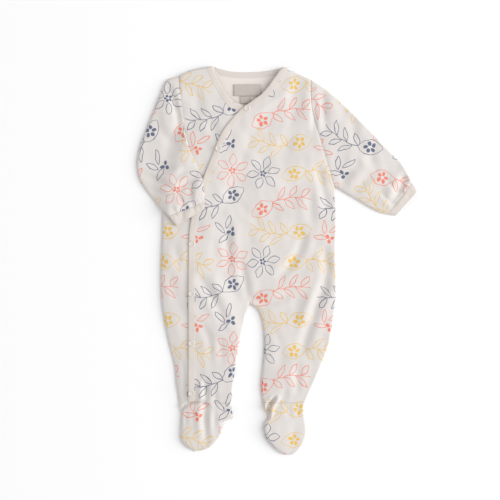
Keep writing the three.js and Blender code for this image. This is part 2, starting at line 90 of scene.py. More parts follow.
# Poppers and label
POPPER_HEIGHT = 1.2
POPPER_SPACING = 69.5
POPPER_COUNT = 7
FIRST_POPPER_Y = 274.5
POPPER_SIDES = 40
LABEL = (38, 16, -1, 300.5)  # width, height, and its middle's x y
SIZE_TAB = (14, 10, -4, 287.1)
LABEL_RAISED = 2.2

# Camera
MM_PER_PIXEL = 1.4
PHOTO_WIDTH_MM = 500 * MM_PER_PIXEL
PHOTO_CENTRE = (2.8, 77)
CAMERA_HEIGHT = 2.6
LAMP_DISTANCE = 6

# Sleeves
FOREARM_THICKNESS = 4.8
FOREARM_EDGE = (2, 1, 12)  # height, seam height and rise of its edge on the fronts
REST_GAP = 0.5
STEP_INSIDE = 12
STEP_OUTSIDE = 16
BOWED = 3

# Edges that run up the garment, as "y x" rows from the ankle upwards
LEFT_SIDE = [
    (-137, -95.5), (-112, -100), (-84, -103), (-56, -110), (-28, -116), (1.5, -120.5),
    (35, -122), (70, -121.3), (112, -119.8), (140, -119.8), (166.5, -119.3),
]
LEFT_ARMHOLE = [
    (166.5, -119.3), (203, -101.5), (239.5, -90), (266, -91), (292.5, -94.5), (320.5, -95),
]
LEFT_SHOULDER = [(320.5, -95), (327, -81), (330.5, -67), (332.3, -57.5), (334.6, -NECK_HALF)]
RIGHT_SIDE = [
    (-137, 78.5), (-112, 90), (-84, 102), (-56, 112.5), (-28, 117.5), (1.5, 122), (35, 123.2),
    (70, 122), (112, 122.8), (140, 122.2), (166.5, 120.5),
]
RIGHT_ARMHOLE = [
    (166.5, 120.5), (196, 112), (224, 103.5), (248, 96.5), (270, 90.5), (292.5, 88), (315, 88),
]
RIGHT_SHOULDER = [(315, 88), (322, 73), (328.3, 59), (333.2, NECK_HALF)]
LEFT_INSEAM = [(-137, -24), (-112, -21), (-84, -17.5), (-56, -12.5), (-28, -7), (-10, -3), (1.5, 2)]
RIGHT_INSEAM = [
    (-137, 20), (-112, 18), (-84, 20.5), (-56, 22.5), (-28, 20.5), (-10, 15.5), (-3, 9.5), (1.5, 2),
]
WRAP_EDGE = [
    (-137, -83.5), (-63, -83.3), (7, -83.3), (77, -82.9), (102, -81.9), (122, -79.1), (140, -74.2),
    (158, -68.6), (176.5, -63), (203, -52.5), (221, -45.5), (236.5, -39), (248, -32), (258, -24),
    (269.5, -14), (278, -4.2), (285, 5.6), (293.5, 17), (305, 28), (316.5, 36.4), (326, 43.4),
    (333.2, NECK_HALF),
]
UNDER_NECK_EDGE = [
    (270, 9), (277.5, -4.2), (282, -15.4), (291, -26.6), (305, -36.4), (320.5, -44.8), (334.6, -NECK_HALF),
]

# Back neckline, as "x y" rows
BACK_NECK = [
    (-NECK_HALF, 334.6), (-39, 330.4), (-22.5, 326.7), (0, 325.8), (22.5, 327), (38, 329.8),
    (NECK_HALF, 333.2),
]

# Sleeves, one row a section: the outer edge's x y, then the inner edge's x y
RIGHT_SLEEVE = [
    (88, 315, 120.5, 166.5), (105, 304, 129, 161), (122.5, 290, 138.5, 155), (140.5, 273.5, 147.5, 150),
    (158.5, 255.5, 157, 144.3), (176.5, 237, 166.5, 138.5), (195.5, 216.8, 175.5, 133.5),
    (215, 197, 185, 129), (229.6, 171, 194.6, 127),
]
RIGHT_CUFF = [(229.8, 170.6, 195, 126.8), (233.8, 165, 201, 125.8), (236.6, 158.5, 206.8, 125.2)]
LEFT_SLEEVE = [
    (-95, 320.5, -90, 239.5), (-114, 313.8, -86.5, 230), (-123.2, 294, -83, 221),
    (-132.5, 271.5, -79, 212), (-142, 247, -75, 204), (-151, 223, -71.5, 196),
    (-155.4, 199, -67.5, 187), (-152.6, 178, -64, 178.5), (-143, 161.5, -62.3, 170),
    (-128, 142.5, -61.6, 158), (-110.7, 124, -60.2, 143.8),
]
LEFT_CUFF = [(-110.4, 123.6, -60.2, 143.4), (-105.5, 117, -60.4, 138.5), (-100, 110.6, -60.9, 133.7)]

# Feet, one row a section from ankle to toe: the left edge's x y, then the right edge's x y
LEFT_FOOT = [
    (-95.5, -137, -56, -137), (-93.5, -148.4, -47.6, -146), (-93.5, -157, -41.5, -157),
    (-94, -164, -37.4, -164.6), (-94.5, -174, -35.6, -172), (-94.6, -186, -39.6, -183),
    (-90, -194.5, -46.6, -192.5), (-83, -200.5, -54, -199), (-76.5, -203, -62, -202.4),
    (-71.5, -203.7, -67, -203.6),
]
LEFT_HEEL = [
    (-58, -137, -24, -137), (-50, -146.5, -22.7, -147), (-43.6, -156, -22.3, -156),
    (-40, -164.8, -32, -162.2),
]
RIGHT_FOOT = [
    (20, -137, 78.5, -137), (22.8, -144.2, 77.4, -145.6), (27.7, -156.8, 78.7, -156.8),
    (23.8, -163.5, 80.2, -165), (21.4, -171, 81.2, -175), (23.1, -181, 80, -184),
    (28, -190.5, 76, -194), (35.4, -199, 71.5, -201), (44, -205.8, 66, -206.4),
    (49, -208.3, 62.2, -208.6), (54, -209.4, 58.5, -209.4),
]

# Creases on the fronts, legs and feet: line, half width and height, negative for a trough
BODY_CREASES = [
    ([(-28, 112), (-29, 84), (-27, 52)], 5.5, -1.3),
    ([(-14, 108), (-16, 80)], 7, 0.6),
    ([(77, 92), (69, 71), (58, 56), (45, 42)], 5.5, -1.5),
    ([(90, 98), (84, 78)], 6, 0.7),
    ([(-66, 36), (-52, 15), (-42, -3), (-35, -20)], 6, -1.5),
    ([(-48, 34), (-34, 12)], 7, 0.7),
    ([(-8, 54), (-4, 34), (-1, 12)], 5, -1.1),
    ([(1, 12), (14, 4), (31, 4), (52, 9)], 4.5, -1.6),
    ([(6, 22), (28, 16), (46, 22)], 6, 0.7),
    ([(109, 26), (98, 7), (91, -14), (84, -36), (76, -60)], 6.5, -1.9),
    ([(96, 22), (84, 2), (78, -18)], 7, 0.8),
    ([(70, -84), (68.5, -100), (69, -118)], 5, -1.2),
    ([(52, -116), (50, -134)], 4.5, -0.5),
    ([(98, 190), (103, 168), (111, 138)], 5.5, -1.4),
    ([(88, 158), (87, 140), (89, 120)], 6, -1.0),
    ([(107, 76), (110, 52), (108, 34), (101, 16)], 6, -1.5),
    ([(-102, 82), (-100, 68), (-97, 54)], 6, -1.0),
    ([(-108, 40), (-104, 18), (-98, 0)], 6, -0.9),
    ([(-91, -78), (-89.5, -104), (-90, -134)], 3.2, -1.0),
    ([(-66, -112), (-67, -124), (-67, -136)], 3.4, 0.9),
    ([(-59, -106), (-58.5, -122), (-59, -138)], 3.6, -1.4),
    ([(-46, -122), (-45, -137)], 3.5, -0.5),
    ([(30, 208), (12, 190), (-8, 180)], 9, -0.7),
    ([(62, 236), (46, 216)], 8, -0.6),
    ([(-60, 262), (-48, 246), (-44, 232)], 6, -0.8),
    ([(-76, 300), (-70, 280), (-72, 262)], 7, -0.7),
    ([(70, 306), (62, 286), (64, 262)], 7, -0.7),
    ([(93, 284), (93.5, 266), (92, 248)], 4, -1.2),
    ([(82, 290), (80, 268)], 5, 0.7),
    ([(-52, 130), (-30, 142), (-6, 140)], 8, -0.7),
    ([(18, 120), (44, 128), (62, 120)], 9, -0.6),
    ([(-40, -54), (-36, -74)], 5, -0.8),
    ([(-62, -30), (-54, -52), (-52, -72)], 5, -0.8),
    ([(40, -40), (46, -66), (44, -86)], 6, -0.8),
]
FOOT_CREASES = [
    ([(-59, -138), (-60, -160), (-58, -192)], 4.2, -1.7),
    ([(-68, -140), (-70, -158), (-69, -176)], 4.5, 0.8),
    ([(-87, -146), (-87.5, -168)], 3.2, -1.1),
    ([(-46, -150), (-47, -170)], 3.6, -0.6),
    ([(56, -140), (58, -156)], 4, -0.5),
    ([(69, -140), (70, -152)], 3, -0.5),
    ([(30, -168), (34, -186)], 4, -0.4),
    ([(66, -168), (62, -188)], 5, -0.3),
]
SLEEVE_CREASES = [
    ([(-113, 311), (-106, 290), (-99, 266), (-97, 250)], 4.5, -1.7),
    ([(-124, 286), (-116, 262), (-112, 244)], 6, 0.7),
    ([(-146, 180), (-128, 174), (-108, 163)], 4.5, -1.5),
    ([(-140, 196), (-118, 192), (-92, 196)], 6, -0.9),
    ([(-68, 190), (-86, 188), (-104, 178)], 4.5, -1.0),
    ([(-66, 176), (-84, 172), (-98, 160)], 4, -0.9),
    ([(-128, 160), (-112, 150), (-98, 146)], 4, -1.0),
    ([(-126, 250), (-112, 232), (-100, 222)], 6, -0.8),
    ([(-90, 132), (-92, 144), (-98, 154)], 3, -1.0),
    ([(-76, 138), (-78, 150), (-80, 160)], 3, -1.0),
    ([(-103, 128), (-106, 138)], 3, -0.8),
    ([(219, 181), (213, 163), (202, 143)], 4.5, -1.6),
    ([(206, 182), (198, 160), (190, 142)], 6, 0.7),
    ([(226, 172), (214, 178)], 3, -0.8),
    ([(216, 156), (204, 163), (196, 172)], 3, -0.9),
    ([(204, 141), (194, 148), (186, 158)], 3, -0.9),
    ([(106, 296), (104, 272), (108, 250)], 5.5, -1.3),
    ([(120, 282), (122, 262)], 6, 0.7),
    ([(128, 166), (138, 182), (152, 196)], 5.5, -1.2),
    ([(148, 156), (160, 172), (176, 184)], 5.5, -1.0),
    ([(150, 258), (148, 236), (156, 214)], 7, -0.9),
    ([(178, 228), (172, 206), (174, 190)], 6, -0.8),
]
TUCKS = [
    ([(37, -131), (33, -136), (29.8, -141), (28, -148), (27, -157)], 2.5, -4.4),
    ([(43, -129), (38, -136), (34.5, -143), (32, -151)], 2.6, 1.2),
    ([(25, -133), (23.5, -141), (24, -149)], 2.2, 0.8),
    (
        [(-98, -151), (-91, -143.6), (-85, -138.9), (-77, -135.6), (-67, -134.8), (-60, -135.4)],
        2.1, -2.2,
    ),
]
BACK_CREASES = [
    ([(-60, 232), (-20, 222), (34, 230)], 6, 1.1),
    ([(96, 90), (70, 66), (40, 52)], 5, 1.1),
    ([(-100, 60), (-70, 40), (-36, 30)], 5, 1.1),
    ([(-90, -60), (-62, -72), (-34, -66)], 4.5, 1.0),
    ([(98, -44), (70, -60), (42, -58)], 4.5, 1.0),
    ([(-6, 66), (-2, 30), (2, 12)], 4, 1.0),
    ([(70, 296), (56, 276), (50, 250)], 5, 1.0),
    ([(-72, 300), (-60, 280), (-54, 252)], 5, 1.0),
    ([(40, 160), (44, 134), (38, 112)], 5, 0.9),
    ([(-52, 150), (-58, 124), (-50, 98)], 5, 0.9),
]


def ease(value, low, high):
    t = np.clip((value - low) / (high - low), 0, 1)
    return t * t * (3 - 2 * t)


def along(table):
    """A smooth function through a table's rows, from its first column to its second."""
    at, value = np.array(table, float).T
    before = np.maximum(np.arange(len(at)) - 1, 0)
    after = np.minimum(np.arange(len(at)) + 1, len(at) - 1)
    slope = (value[after] - value[before]) / (at[after] - at[before])

    def curve(x):
        i = np.clip(np.searchsorted(at, x, side="right") - 1, 0, len(at) - 2)
        span = at[i + 1] - at[i]
        t = np.clip((x - at[i]) / span, 0, 1)
        rest = 1 - t
        bend = span * t * rest * (slope[i] * rest - slope[i + 1] * t)
        return value[i] * rest**2 * (1 + 2 * t) + value[i + 1] * t**2 * (3 - 2 * t) + bend

    return curve


def fractions(count, soft_start=True, soft_end=True):
    """Places across a row from 0 to 1, closer together near the ends that fold over."""
    t = np.linspace(0, 1, count + 1)
    if soft_start and soft_end:
        return 0.1 * t + 0.9 * (1 - np.cos(np.pi * t)) / 2
    if soft_start:
        return 0.1 * t + 0.9 * (1 - np.cos(np.pi * t / 2))
    if soft_end:
        return 0.1 * t + 0.9 * np.sin(np.pi * t / 2)
    return t


def refine(table, count, soft_end=False):
    """Rows of a table with smooth rows worked out between them, count in all."""
    rows = np.array(table, float)
    at = fractions(count - 1, False, soft_end) * (len(rows) - 1)
    return np.stack([along(list(enumerate(column)))(at) for column in rows.T], 1)


left_side = along(LEFT_SIDE + LEFT_ARMHOLE[1:])
right_side = along(RIGHT_SIDE + RIGHT_ARMHOLE[1:])
left_shoulder = along(LEFT_SHOULDER)
right_shoulder = along(RIGHT_SHOULDER)
left_inseam = along(LEFT_INSEAM)
right_inseam = along(RIGHT_INSEAM)
wrap_edge = along(WRAP_EDGE)
under_neck_edge = along(UNDER_NECK_EDGE)
back_neck = along(BACK_NECK)

CROTCH_Y, CROTCH_X = LEFT_INSEAM[-1]
CORNER_Y = LEFT_ARMHOLE[2][0]
LEFT_SHOULDER_Y = LEFT_SHOULDER[0][0]
RIGHT_SHOULDER_Y = RIGHT_SHOULDER[0][0]
NECK_CORNER_Y = WRAP_EDGE[-1][0]
UNDER_CORNER_Y = UNDER_NECK_EDGE[-1][0]


def outer_left(y):
    return np.where(y > LEFT_SHOULDER_Y, left_shoulder(y), left_side(y))


def outer_right(y):
    return np.where(y > RIGHT_SHOULDER_Y, right_shoulder(y), right_side(y))


def sideways(edge, y, width):
    """How far a band of the given width reaches sideways where its edge runs at a slant."""
    return width * np.hypot(1, (edge(y + 1) - edge(y - 1)) / 2)


def beside(edge, y, distance):
    """A line of x y points along an edge, at a distance from it: to the right, or left if negative."""
    return np.column_stack([edge(y) + sideways(edge, y, distance), y])


def wrap_panel_edge(y):
    return wrap_edge(y) + sideways(wrap_edge, y, BAND * UNDER_BAND)


def under_panel_edge(y):
    return under_neck_edge(y) - sideways(under_neck_edge, y, BAND * UNDER_BAND)


ankle_arc = along([
    (-95.5, -11.4), (-91, -6.5), (-85, -2.3), (-77, 0.5), (-67, 0.8), (-56, -1), (-45, 0), (-24, 0),
])


def bend_ankle(plan):
    """Moves the points near the left ankle so that its seam runs in an arc over the foot."""
    x, y = plan[..., 0], plan[..., 1]
    near = ease(y, -174, ANKLE_Y) * (1 - ease(y, ANKLE_Y, -108)) * (x < -20)
    down = ankle_arc(np.minimum(x, -24)) * near
    return np.stack([x - 0.175 * down * ease(-x, 80, 95), y + down], -1)


def flip(table):
    return [(x, y) for y, x in table]


def outer_line(table):
    return [row[:2] for row in table]


def inner_line(table):
    return [row[2:] for row in table]


def toe_line(table):
    return [table[-1][:2], table[-1][2:]]


BETWEEN = 6  # spaces between two points of a smoothed line


def smooth_line(points):
    """The points of a line with smooth ones between them."""
    return refine(points, BETWEEN * (len(points) - 1) + 1)


def edge_line(edge, low, high, step=4):
    """Points along an edge that is a function of y."""
    y = np.linspace(low, high, int((high - low) / step) + 1)
    return np.column_stack([edge(y), y])


COVERED_EDGE = flip(LEFT_SIDE[-4:] + LEFT_ARMHOLE[1:3])
BODY_OUTLINE = (
    [
        edge_line(left_side, ANKLE_Y, CORNER_Y),
        edge_line(right_inseam, ANKLE_Y, CROTCH_Y, step=3),
        smooth_line(inner_line(RIGHT_SLEEVE)),
        smooth_line(inner_line(RIGHT_CUFF)),
    ],
    [
        edge_line(left_shoulder, LEFT_SHOULDER_Y, UNDER_CORNER_Y, step=1),
        edge_line(right_side, ANKLE_Y, RIGHT_SIDE[-1][0]),
        edge_line(left_inseam, ANKLE_Y, CROTCH_Y, step=3),
        edge_line(right_shoulder, RIGHT_SHOULDER_Y, NECK_CORNER_Y, step=1),
        smooth_line(outer_line(RIGHT_SLEEVE)),
        smooth_line(outer_line(RIGHT_CUFF)),
    ],
)
LEFT_SLEEVE_OUTLINE = (
    [smooth_line(outer_line(LEFT_SLEEVE) + outer_line(LEFT_CUFF)[1:])],
    [smooth_line(inner_line(LEFT_SLEEVE) + inner_line(LEFT_CUFF)[1:])],
)
HEEL_ROWS = 3  # the left foot's rows that lie beside its heel
LEFT_FOOT_INNER = inner_line(LEFT_HEEL) + inner_line(LEFT_FOOT)[HEEL_ROWS:]
LEFT_FOOT_OUTLINE = (
    [smooth_line(outer_line(LEFT_FOOT)), toe_line(LEFT_FOOT)],
    [
        smooth_line(inner_line(LEFT_HEEL)),
        [LEFT_HEEL[-1][2:], LEFT_FOOT[HEEL_ROWS][2:]],
        smooth_line(inner_line(LEFT_FOOT))[HEEL_ROWS * BETWEEN:],
    ],
)
RIGHT_FOOT_OUTLINE = (
    [smooth_line(outer_line(RIGHT_FOOT)), toe_line(RIGHT_FOOT)],
    [smooth_line(inner_line(RIGHT_FOOT))],
)
heel_seam = along([(-y, x) for x, y in inner_line(LEFT_FOOT)[:HEEL_ROWS + 1]])
SEAM_LINES = [
    smooth_line(flip(LEFT_ARMHOLE[2:])),
    smooth_line(flip(RIGHT_ARMHOLE)),
    smooth_line([
        (-95.5, -148.4), (-91, -143.5), (-85, -139.3), (-77, -136.5), (-67, -136.2), (-62, -136.6),
    ]),
    [RIGHT_CUFF[0][:2], RIGHT_CUFF[0][2:]],
    [LEFT_CUFF[0][:2], LEFT_CUFF[0][2:]],
]


def travelled(points):
    """How far along a line each of its points is."""
    steps = np.linalg.norm(np.diff(np.asarray(points, float), axis=0), axis=1)
    return np.concatenate([[0], np.cumsum(steps)])


def path_length(points):
    return travelled(points)[-1]


def nearest(line, x, y):
    """Distance to a line of points, and how far along it the nearest point is, from 0 to 1."""
    start = travelled(line)
    best = np.full(np.shape(x), np.inf)
    where = np.zeros(np.shape(x))
    for (ax, ay), (bx, by), length, from_start in zip(line, line[1:], np.diff(start), start):
        t = np.clip(((x - ax) * (bx - ax) + (y - ay) * (by - ay)) / max(length, 1e-6) ** 2, 0, 1)
        distance = np.hypot(x - ax - t * (bx - ax), y - ay - t * (by - ay))
        closer = distance < best
        best = np.where(closer, distance, best)
        where = np.where(closer, (from_start + t * length) / start[-1], where)
    return best, where


def distance_to(lines, x, y):
    return np.min([nearest(line, x, y)[0] for line in lines], axis=0)


def creases(table, x, y):
    """Heights of soft creases: a trough or ridge that fades at its ends, with lower flanks beside it."""
    total = np.zeros(np.shape(x))
    for points, width, height in table:
        line = smooth_line(points) if len(points) > 2 else points
        distance, where = nearest(line, x, y)
        fade = 0.15 + 0.85 * np.sin(np.pi * np.clip(0.12 + 0.76 * where, 0, 1))
        flank = 0.35 * np.exp(-(((distance - 1.9 * width) / width) ** 2))
        total += RELIEF * height * fade * (np.exp(-((distance / width) ** 2)) - flank)
    return total


# Wavelength and height of the uneven cloth's waves, two of each in random directions
WAVES = [(95, 0.35), (70, 0.3), (52, 0.26), (38, 0.2), (27, 0.14), (19, 0.09), (14, 0.05)]
random = np.random.default_rng(7)
RIPPLES = [
    (random.uniform(0, math.tau), random.uniform(0, math.tau), *wave)
    for wave in WAVES for _ in range(2)
]


def ripple(x, y):
    """Slight unevenness of cloth that was smoothed down by hand."""
    total = np.zeros(np.shape(x))
    bent_x = x + 9 * np.sin(y / 31 + 1.3)
    bent_y = y + 9 * np.sin(x / 27 + 0.4)
    for direction, phase, wavelength, amount in RIPPLES:
        across = bent_x * math.cos(direction) + bent_y * math.sin(direction)
        total += amount * np.sin(across * math.tau / wavelength + phase)
    return total


def seams(x, y):
    """A shallow valley along each seam, with small puckers beside it."""
    total = np.zeros(np.shape(x))
    for line in SEAM_LINES:
        distance, where = nearest(line, x, y)
        length = path_length(line)
        pucker = np.sin(where * length * math.tau / 7.3 + 2 * np.sin(where * length / 9))
        total -= 0.55 * np.exp(-((distance / 2) ** 2))
        total += 0.2 * pucker * np.exp(-(((distance - 4) / 4) ** 2))
    return total


def rounded(distance, radius):
    """Quarter circle from 0 at the edge to 1 at the radius."""
    return np.sqrt(1 - (1 - np.clip(distance / radius, 0, 1)) ** 2)


def rise(distance, softness=8):
    return 1 - np.exp(-distance / softness)


def edge_profile(outline, x, y, softer=0):
    """How much of its height the cloth has here: the slow rise from its edges, and their rounding."""
    slack, crisp = (distance_to(edges, x, y) for edges in outline)
    level = rise(slack, SLACK_EDGE[0]) * rise(crisp, CRISP_EDGE[0])
    return level, rounded(slack, SLACK_EDGE[1] + softer) * rounded(crisp, CRISP_EDGE[1])


def front_relief(x, y):
    return creases(BODY_CREASES, x, y) + ripple(x, y) + seams(x, y)


def leg_tilt(x, y):
    """The left leg lies lower towards its outer side."""
    leg = (x < 0) * (1 - ease(y, -70, 0)) * ease(y, -172, ANKLE_Y)
    return LEG_TILT * (LEG_MIDDLE - np.minimum(x, -15)) * leg


def front_top(x, y):
    """Height of the fronts' outer face."""
    level, curve = edge_profile(BODY_OUTLINE, x, y)
    flat = EDGE_HEIGHT + (CROWN - EDGE_HEIGHT + front_relief(x, y)) * level - leg_tilt(x, y)
    return np.maximum(SEAM_HEIGHT + (flat - SEAM_HEIGHT) * curve + creases(TUCKS, x, y), SEAM_HEIGHT)


def lap_lift(x, y):
    beyond = x - wrap_edge(y)
    up = 1 - 0.45 * ease(y, NECK_OPENS, NECK_OPENS + 40)
    slack = 0.35 * np.sin(y / 23 + 1) + 0.25 * np.sin(y / 11.5)
    lift = (LAP_LIFT + slack * np.exp(-np.abs(beyond) / 14)) * up
    full = LEG_LAP + (LAP_FULL - LEG_LAP) * ease(y, -25, 60)
    lift = lift * (1 - ease(beyond, full, full + LAP_FADE)) * edge_profile(BODY_OUTLINE, x, y)[1]
    hem = 0.4 * (1 - ease(x, -66, -50))
    return lift * (hem + (1 - hem) * ease(y, ANKLE_Y, ANKLE_Y + 16))


def over_front_top(x, y):
    return front_top(x, y) + lap_lift(x, y)


def foot_top(outline):
    def top(x, y):
        foot = ease(-y, -ANKLE_Y, -ANKLE_Y + 25)
        level, curve = edge_profile(outline, x, y, foot)
        relief = creases(FOOT_CREASES, x, y) + creases(BODY_CREASES, x, y) + seams(x, y)
        relief = relief + ripple(x, y) * (1 - 0.6 * foot)
        puff = 2 * np.exp(-(((y + 142) / 8) ** 2)) * (1 - ease(x, -72, -56))
        crown = CROWN - EDGE_HEIGHT + (FOOT_CROWN - CROWN - 1) * foot + relief + puff
        tilt = FOOT_TILT * (50 - x) * foot * (x > 0) - leg_tilt(x, y)
        flat = EDGE_HEIGHT + foot + crown * level + tilt
        low = SEAM_HEIGHT + (SOLE_HEIGHT - SEAM_HEIGHT) * foot
        tucked = 0.12 * ease(y, ANKLE_Y - 6, ANKLE_Y) + 1.3 * ease(y, ANKLE_Y + 0.1, ANKLE_Y + TUCK)
        tucked = tucked * ease(x, -66, -50)
        return np.maximum(low + (flat - low) * curve + creases(TUCKS, x, y), SEAM_HEIGHT) - tucked

    return top


def heel_top(x, y):
    """The foot's height, but lower where the heel runs on under the foot's seam."""
    return foot_top(LEFT_FOOT_OUTLINE)(x, y) - 0.9 * ease(heel_seam(-y) - x, 0, 1.5)


def forearm_rest(x, y):
    """What the forearm lies on: the fronts, the binding and a popper, and beside them the surface."""
    inside = (y < CORNER_Y) & (x > left_side(y)) & (x < right_side(y))
    edge = nearest(COVERED_EDGE, x, y)[0]
    held = 1 - ease(np.where(inside, -edge, edge), -STEP_INSIDE, STEP_OUTSIDE)
    near_wrap = ease(x - wrap_edge(y), -14, -3)
    popper_x, popper_y = POPPERS[2]
    over_popper = np.exp(-((np.hypot(x - popper_x, y - popper_y) / 15) ** 2))
    lap = near_wrap * (LAP_LIFT + 0.4) + over_popper * POPPER_HEIGHT
    relief = np.where(inside, front_relief(x, y) * rise(edge), 0)
    return held * (CROWN + relief + lap + REST_GAP)


def forearm_faces(x, y):
    """Heights of the left sleeve's lower and upper face."""
    level, curve = edge_profile(LEFT_SLEEVE_OUTLINE, x, y)
    floor = forearm_rest(x, y)
    low, low_seam, softness = FOREARM_EDGE
    on_fronts = 1 - ease(y, 205, 240)
    from_edge = distance_to(LEFT_SLEEVE_OUTLINE[1], x, y)
    thin = on_fronts * np.exp(-from_edge / softness)
    thickness = FOREARM_THICKNESS + (CROWN - FOREARM_THICKNESS) * ease(y, 215, 250)
    relief = creases(SLEEVE_CREASES, x, y) + ripple(x, y) + seams(x, y)
    upper = EDGE_HEIGHT + (thickness - EDGE_HEIGHT + relief) * level
    upper = upper + (low - upper) * thin
    seam = SEAM_HEIGHT + (low_seam - SEAM_HEIGHT) * thin
    return floor + seam * (1 - curve), floor + seam + (upper - seam) * curve


def right_sleeve_faces(x, y):
    """Heights of the right sleeve's lower and upper face."""
    level, curve = edge_profile(BODY_OUTLINE, x, y)
    relief = creases(SLEEVE_CREASES, x, y) * level * curve
    return SEAM_HEIGHT * (1 - curve), front_top(x, y) + relief


# Meshes

label_low, label_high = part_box("label")
SHIFT = np.array([
    (label_low[0] + label_high[0]) / 2 - LABEL[2] / 1000,
    (label_low[1] + label_high[1]) / 2 - LABEL[3] / 1000,
    0,
])


def place(points):
    return np.asarray(points, float) / 1000 + SHIFT


def strip(levels, start, end, across):
    """A grid of x y points between two edges that are functions of y."""
    y = np.asarray(levels, float)[:, None]
    x = start(y) + (end(y) - start(y)) * across[None, :]
    return np.stack([x, np.broadcast_to(y, x.shape)], -1)


def section_grid(rows, across, armhole=None):
    """A grid of x y points across a section table's rows. The first rows bend to the armhole."""
    u = across[None, :]
    x = rows[:, 0:1] * (1 - u) + rows[:, 2:3] * u
    y = rows[:, 1:2] * (1 - u) + rows[:, 3:4] * u
    if armhole:
        bow = armhole(y[0]) - x[0]
        share = np.linspace(0, 1, len(rows))[:, None] * 8
        x = x + bow[None, :] * (1 - ease(share, 0, BOWED))
    return np.stack([x, y], -1)


def welded(grids):
    """Points and quads of several grids, with the points that they share made one."""
    points, quads, start = [], [], 0
    for grid in grids:
        rows, columns = grid.shape[:2]
        number = np.arange(rows * columns).reshape(rows, columns) + start
        corners = [number[:-1, :-1], number[:-1, 1:], number[1:, 1:], number[1:, :-1]]
        quads.append(np.stack(corners, -1).reshape(-1, 4))
        points.append(grid.reshape(-1, 2))
        start += rows * columns
    points = np.concatenate(points)
    _, first, same = np.unique(np.round(points, 3), axis=0, return_index=True, return_inverse=True)
    return points[first], same.reshape(-1)[np.concatenate(quads)]


def vertex_normals(points, quads):
    face = np.cross(points[quads[:, 2]] - points[quads[:, 0]], points[quads[:, 3]] - points[quads[:, 1]])
    total = np.zeros_like(points)
    for corner in range(4):
        np.add.at(total, quads[:, corner], face)
    return total / np.maximum(np.linalg.norm(total, axis=1), 1e-9)[:, None]


def over_edges(points, quads):
    """Flat cloth coordinates: the plan, carried on outwards where the cloth turns down at its edges."""
    outward = vertex_normals(points, quads)[:, :2]
    steep = np.linalg.norm(outward, axis=1)
    drop = np.maximum(CROWN - points[:, 2], 0)
    return points[:, :2] + outward * (steep * drop)[:, None]


def free_edges(quads):
    """Directed edges that only one quad uses."""
    edges = np.concatenate([quads[:, [i, (i + 1) % 4]] for i in range(4)])
    _, back, count = np.unique(np.sort(edges, axis=1), axis=0, return_inverse=True, return_counts=True)
    return edges[count[back.reshape(-1)] == 1]


def ring_quads(rows, size):
    """Quads between closed rings of points, one ring a row."""
    number = np.arange(rows * size).reshape(rows, size)
    following = np.roll(number, -1, axis=1)
    return np.stack([number[:-1], following[:-1], following[1:], number[1:]], -1).reshape(-1, 4)


def add(name, data):
    """A new object in the scene."""
    made = bpy.data.objects.new(name, data)
    bpy.context.collection.objects.link(made)
    return made


def finish_piece(piece, slot, *nodes):
    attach(piece, "root")
    if nodes:
        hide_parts(*nodes)
    return piece


def add_mesh(name, slot, points, faces, smooth=None):
    """An object from points in millimetres.

    The faces after the first smooth ones, such as a rim, stay flat, so that the edge before them is crisp.
    """
    mesh = bpy.data.meshes.new(name)
    mesh.from_pydata(place(points).tolist(), [], faces)
    mesh.polygons.foreach_set("use_smooth", np.arange(len(faces)) < (smooth or len(faces)))
    mesh.materials.append(MATERIALS[slot])
    return add(name, mesh)


def build(node, slot, points, faces, cut, outside, smooth):
    """The cloth for a node, with its flat coordinates in millimetres, and which points are outside."""
    piece = add_mesh(f"{node}_cloth", slot, points, faces, smooth)
    mesh = piece.data
    corners = np.empty(len(mesh.loops), int)
    mesh.loops.foreach_get("vertex_index", corners)
    layer = mesh.uv_layers.new(name="cut")
    layer.data.foreach_set("uv", (np.asarray(cut, float)[corners] / 1000).ravel())
    side = mesh.attributes.new("outside", "FLOAT", "POINT")
    side.data.foreach_set("value", np.asarray(outside, float))
    return finish_piece(piece, slot, node)


def thicken(node, slot, points, quads, cut, wall, lowest=None):
    """A closed wall of cloth from its outer face: the inner face lies a wall's thickness behind it."""
    inner = points - vertex_normals(points, quads) * wall
    if lowest is not None:
        inner[:, 2] = np.maximum(inner[:, 2], lowest)
    count = len(points)
    edges = free_edges(quads)
    rim = np.stack([edges[:, 1], edges[:, 0], edges[:, 0] + count, edges[:, 1] + count], 1)
    faces = np.concatenate([quads, quads[:, ::-1] + count, rim]).tolist()
    outside = np.concatenate([np.ones(count), np.zeros(count)])
    points = np.concatenate([points, inner])
    cut = np.concatenate([cut, cut])
    return build(node, slot, points, faces, cut, outside, 2 * len(quads))


def panel(node, grids, top, slot="print_cloth", wall=WALL):
    """A wall of cloth over plan grids, seen from above."""
    plan, quads = welded([bend_ankle(grid) for grid in grids])
    height = top(plan[:, 0], plan[:, 1])
    points = np.column_stack([plan, height])
    return thicken(node, slot, points, quads, over_edges(points, quads), wall, LINING_HEIGHT)


def tube(node, slot, plan, faces_at, turn=0):
    """A flattened tube of cloth: an upper and a lower face over one plan grid, joined at both edges.

    Its flat coordinates are turned by an angle in degrees.
    """
    lower, upper = faces_at(plan[..., 0], plan[..., 1])
    over = np.concatenate([plan, upper[..., None]], -1)
    under = np.concatenate([plan, lower[..., None]], -1)[:, -2:0:-1]
    rings = np.concatenate([over, under], 1)
    quads = ring_quads(*rings.shape[:2])
    points = rings.reshape(-1, 3)
    if signed_volume(points, quads) < 0:
        quads = quads[:, ::-1]
    angle = math.radians(turn)
    x, y = over_edges(points, quads).T
    across = x * math.cos(angle) - y * math.sin(angle)
    up = x * math.sin(angle) + y * math.cos(angle)
    return thicken(node, slot, points, quads, np.column_stack([across, up]), TUBE_WALL)


def signed_volume(points, quads):
    centred = points - points.mean(axis=0)
    a, b, c, d = (centred[quads[:, i]] for i in range(4))
    return np.sum(np.cross(a, b) * c) + np.sum(np.cross(a, c) * d)


